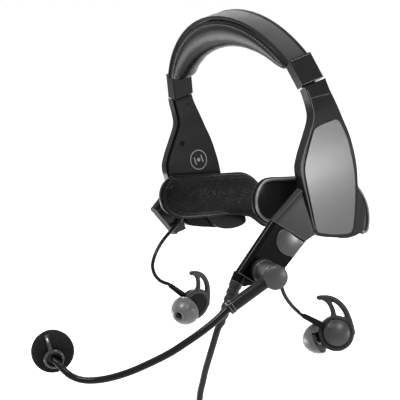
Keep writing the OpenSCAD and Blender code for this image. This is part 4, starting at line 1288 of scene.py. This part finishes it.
# Profile of the hole for the microphone, then radii round it with the rise of its rolled edge
FOAM_HOLE = [(9.0, 0), (9.0, 4.3), (1.4, 4.9), (0.9, 6.3)]
FOAM_EDGE = ((6.9, 0.75), (7.4, 0.2), (8.0, -0.12))
# Pits of two sizes and lumps: scale of the noise and depth
FOAM_RELIEF = ((1.15, 0.07), (2.6, 0.09), (0.13, 0.15))
# The ring sunk around the holder: depth, radius, width, and how far in and up it reaches
MOAT = 1.5
MOAT_R = 7.3
MOAT_WIDE = 2.6
MOAT_IN = 6.4
MOAT_UP = 6


def windscreen_profile():
    edge = [(FOAM_Z - math.sqrt(FOAM_R ** 2 - r ** 2) + rise, r) for r, rise in FOAM_EDGE]
    start = math.asin(FOAM_MOUTH / FOAM_R)
    turns = [start + (math.pi - start) * i / FOAM_STEPS for i in range(FOAM_STEPS)]
    ball = [(FOAM_Z - FOAM_R * math.cos(a), FOAM_R * math.sin(a)) for a in turns]
    return FOAM_HOLE + edge + ball + [(FOAM_Z + FOAM_R, 0)]


def add_windscreen():
    """A foam ball with pores and lumps, sunk in a ring around the holder."""
    mesh = lathe("foam_ball", windscreen_profile(),
                 Matrix.Translation(MIC_AT * MM) @ facing(MIC_DIR), 120)
    ball = put(mesh, "foam_ball", body_of("windscreen"), "foam")
    mesh = finer(ball)
    middle = (MIC_AT + FOAM_Z * MIC_DIR) * MM
    for vertex in mesh.vertices:
        out = (vertex.co - middle).normalized()
        p = vertex.co / MM
        relief = sum(noise.noise(p * scale) * deep for scale, deep in FOAM_RELIEF)
        near = p - MIC_AT
        height = near.dot(MIC_DIR)
        reach = (near - height * MIC_DIR).length
        moat = MOAT * bell(reach, MOAT_R, MOAT_WIDE)
        if height >= MOAT_UP or reach <= MOAT_IN:
            moat = 0
        vertex.co += (out * relief + MIC_DIR * moat) * MM
    mesh.shade_smooth()
    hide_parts("windscreen")


# ---------------------------------------------------------------- earphones

BUD_POSE = {"left": ((62.4, -23.6, -213.4), (0, -22, -32)),
            "right": ((63.7, -55.9, -189.3), (-10, -16, 3))}
WING_X = -2.5
# Middle line and radii of the outer hook and of the arm that joins it to the ring
WING_TUBES = (
    ([(11.2, -3), (11.7, 4), (11.6, 9), (11.0, 14), (9.2, 19), (5.9, 23.4), (1.4, 26.4),
      (-4.2, 28.0)], (2.3, 2.2, 2.05, 1.8)),
    ([(-1.6, 27.0), (0.9, 24.2), (2.2, 20.8), (2.6, 17), (2.3, 13.6), (1.2, 10.6)],
     (1.6, 1.75, 1.9, 2.3)),
)
WING_RING = [(-1.9, 9.5), (-1.9, 12.0), (-1.3, 12.8), (0, 13.0), (1.3, 12.8), (1.9, 12.0),
             (1.9, 9.5)]
WING_VOXEL = 0.42
TUBE_SIDES = 14
# Shift and scale of the last rings of a tube, in its radius
TUBE_DOME = [(0.0, 1.0), (0.7, 0.7), (0.95, 0.3)]
LIP_R = 9.55
DOME_X = 4.5
DOME_PROFILE = [(0, 0), (0, 9.2), (0.5, 9.3), (1.0, 9.2), (1.35, 8.85), (1.9, 8.0), (2.6, 6.6),
                (3.2, 4.9), (3.6, 3.2), (3.85, 1.5), (3.9, 0)]
TIP_AT = Vector((-3, -4, 0.5))
TIP_WAY = Vector((-7, -14, -0.2)).normalized()
TIP_OUT = 10
TIP_PROFILE = [
    (0, 3.5), (0.1, 4.5), (7.6, 4.7), (7.2, 6.4), (5.6, 8.3), (3.2, 9.8), (0.2, 10.5),
    (-0.6, 10.9), (-0.5, 11.3), (1.0, 11.3), (3.6, 10.6), (6.2, 9.3), (8.6, 7.3), (10.4, 5.2),
    (11.0, 4.0), (10.7, 3.1), (8, 2.7), (6, 3.5)]


def bud_place(side):
    at, turn = BUD_POSE[side]
    place = (Matrix.Translation(Vector(at) * MM) @ turn_about("Z", turn[2])
             @ turn_about("Y", turn[1]) @ turn_about("X", turn[0]))
    return place if side == "left" else Matrix.Diagonal((-1, 1, 1, 1)) @ place


def add_tube(points, radii, place, bm):
    """A round tube with its own radius at each point, closed by domes, added to bm."""
    line = spline(points, 5)
    last = len(line) - 1
    rows = []
    for i, (p, along, side, up) in enumerate(carried(line, Vector((1, 0, 0)))):
        share = i / last * (len(radii) - 1)
        k = min(int(share), len(radii) - 2)
        radius = radii[k] + (radii[k + 1] - radii[k]) * (share - k)
        steps = TUBE_DOME if i == last else TUBE_DOME[:1]
        if i == 0:
            steps = [(-shift, scale) for shift, scale in reversed(TUBE_DOME)]
        for shift, scale in steps:
            middle = p + along * shift * radius
            ring = [middle + radius * scale * (c * side + s * up)
                    for c, s in circle(TUBE_SIDES)]
            rows.append([bm.verts.new(place @ (q * MM)) for q in ring])
    bridge(bm, rows, "filled")


def add_wing(side, place):
    """Soft ring around the housing with its hooked wing, fused into one smooth skin."""
    bm = bmesh.new()
    for line, radii in WING_TUBES:
        add_tube([(WING_X, y, z) for y, z in line], radii, place, bm)
    turn = place @ turn_about("Y", 90)
    rows = [[bm.verts.new(turn @ (Vector((r * c, r * s, WING_X + h)) * MM))
             for c, s in circle(64)] for h, r in WING_RING]
    bridge(bm, rows, "joined")
    name = f"ear_hook_{side}"
    hook = put(mesh_from(bm, name), name, body_of(f"ear_wing_{side}"), "wing")
    fused(hook, WING_VOXEL, melts=4).shade_smooth()
    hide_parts(f"ear_wing_{side}")


def add_earphone(side):
    place = bud_place(side)
    add_wing(side, place)
    body = body_of(f"bud_cap_{side}")
    face = place @ Matrix.Translation(Vector((DOME_X, 0, 0)) * MM) @ turn_about("Y", 90)
    dome = turned(f"bud_dome_{side}", DOME_PROFILE, face, body, "bud_grey", 96,
                  angle=ROUND_ANGLE)
    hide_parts(f"bud_cap_{side}")
    lip = ring_points(Vector(), Vector((0, 0, 1)), LIP_R)
    lip = [(face @ (p * MM)) / MM for p in lip]
    strand(f"bud_lip_{side}", lip, 0.35, body, "gloss_rubber", "satin_black", 10, closed=True)
    nose = place @ Matrix.Translation((TIP_AT + TIP_OUT * TIP_WAY) * MM) @ facing(TIP_WAY)
    tip = turned(f"tip_umbrella_{side}", TIP_PROFILE, nose, body, "silicone", 72,
                 closed=True, angle=ROUND_ANGLE)
    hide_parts(f"ear_tip_{side}")


# ---------------------------------------------------------------- build

add_camera()
add_world()
add_floor()
for name, values in LAMPS.items():
    add_lamp(name, *values)

rigid = add_rigid()
add_main_cord()
for side, sign in SIDES.items():
    add_ear_lead(side, sign)
add_band_cover()
add_band_cushion()
for side, sign in SIDES.items():
    add_pad(side, sign)
    add_inner_mark(side, sign)
    add_shell_lines(side, sign)
    add_recesses(side, sign)
    add_cap_edge_highlights(side, sign)
    add_earphone(side)
add_module_highlight_lines()
add_button()
add_pivot()
add_windscreen()
add_gooseneck()

bpy.context.scene.view_settings.view_transform = "Standard"
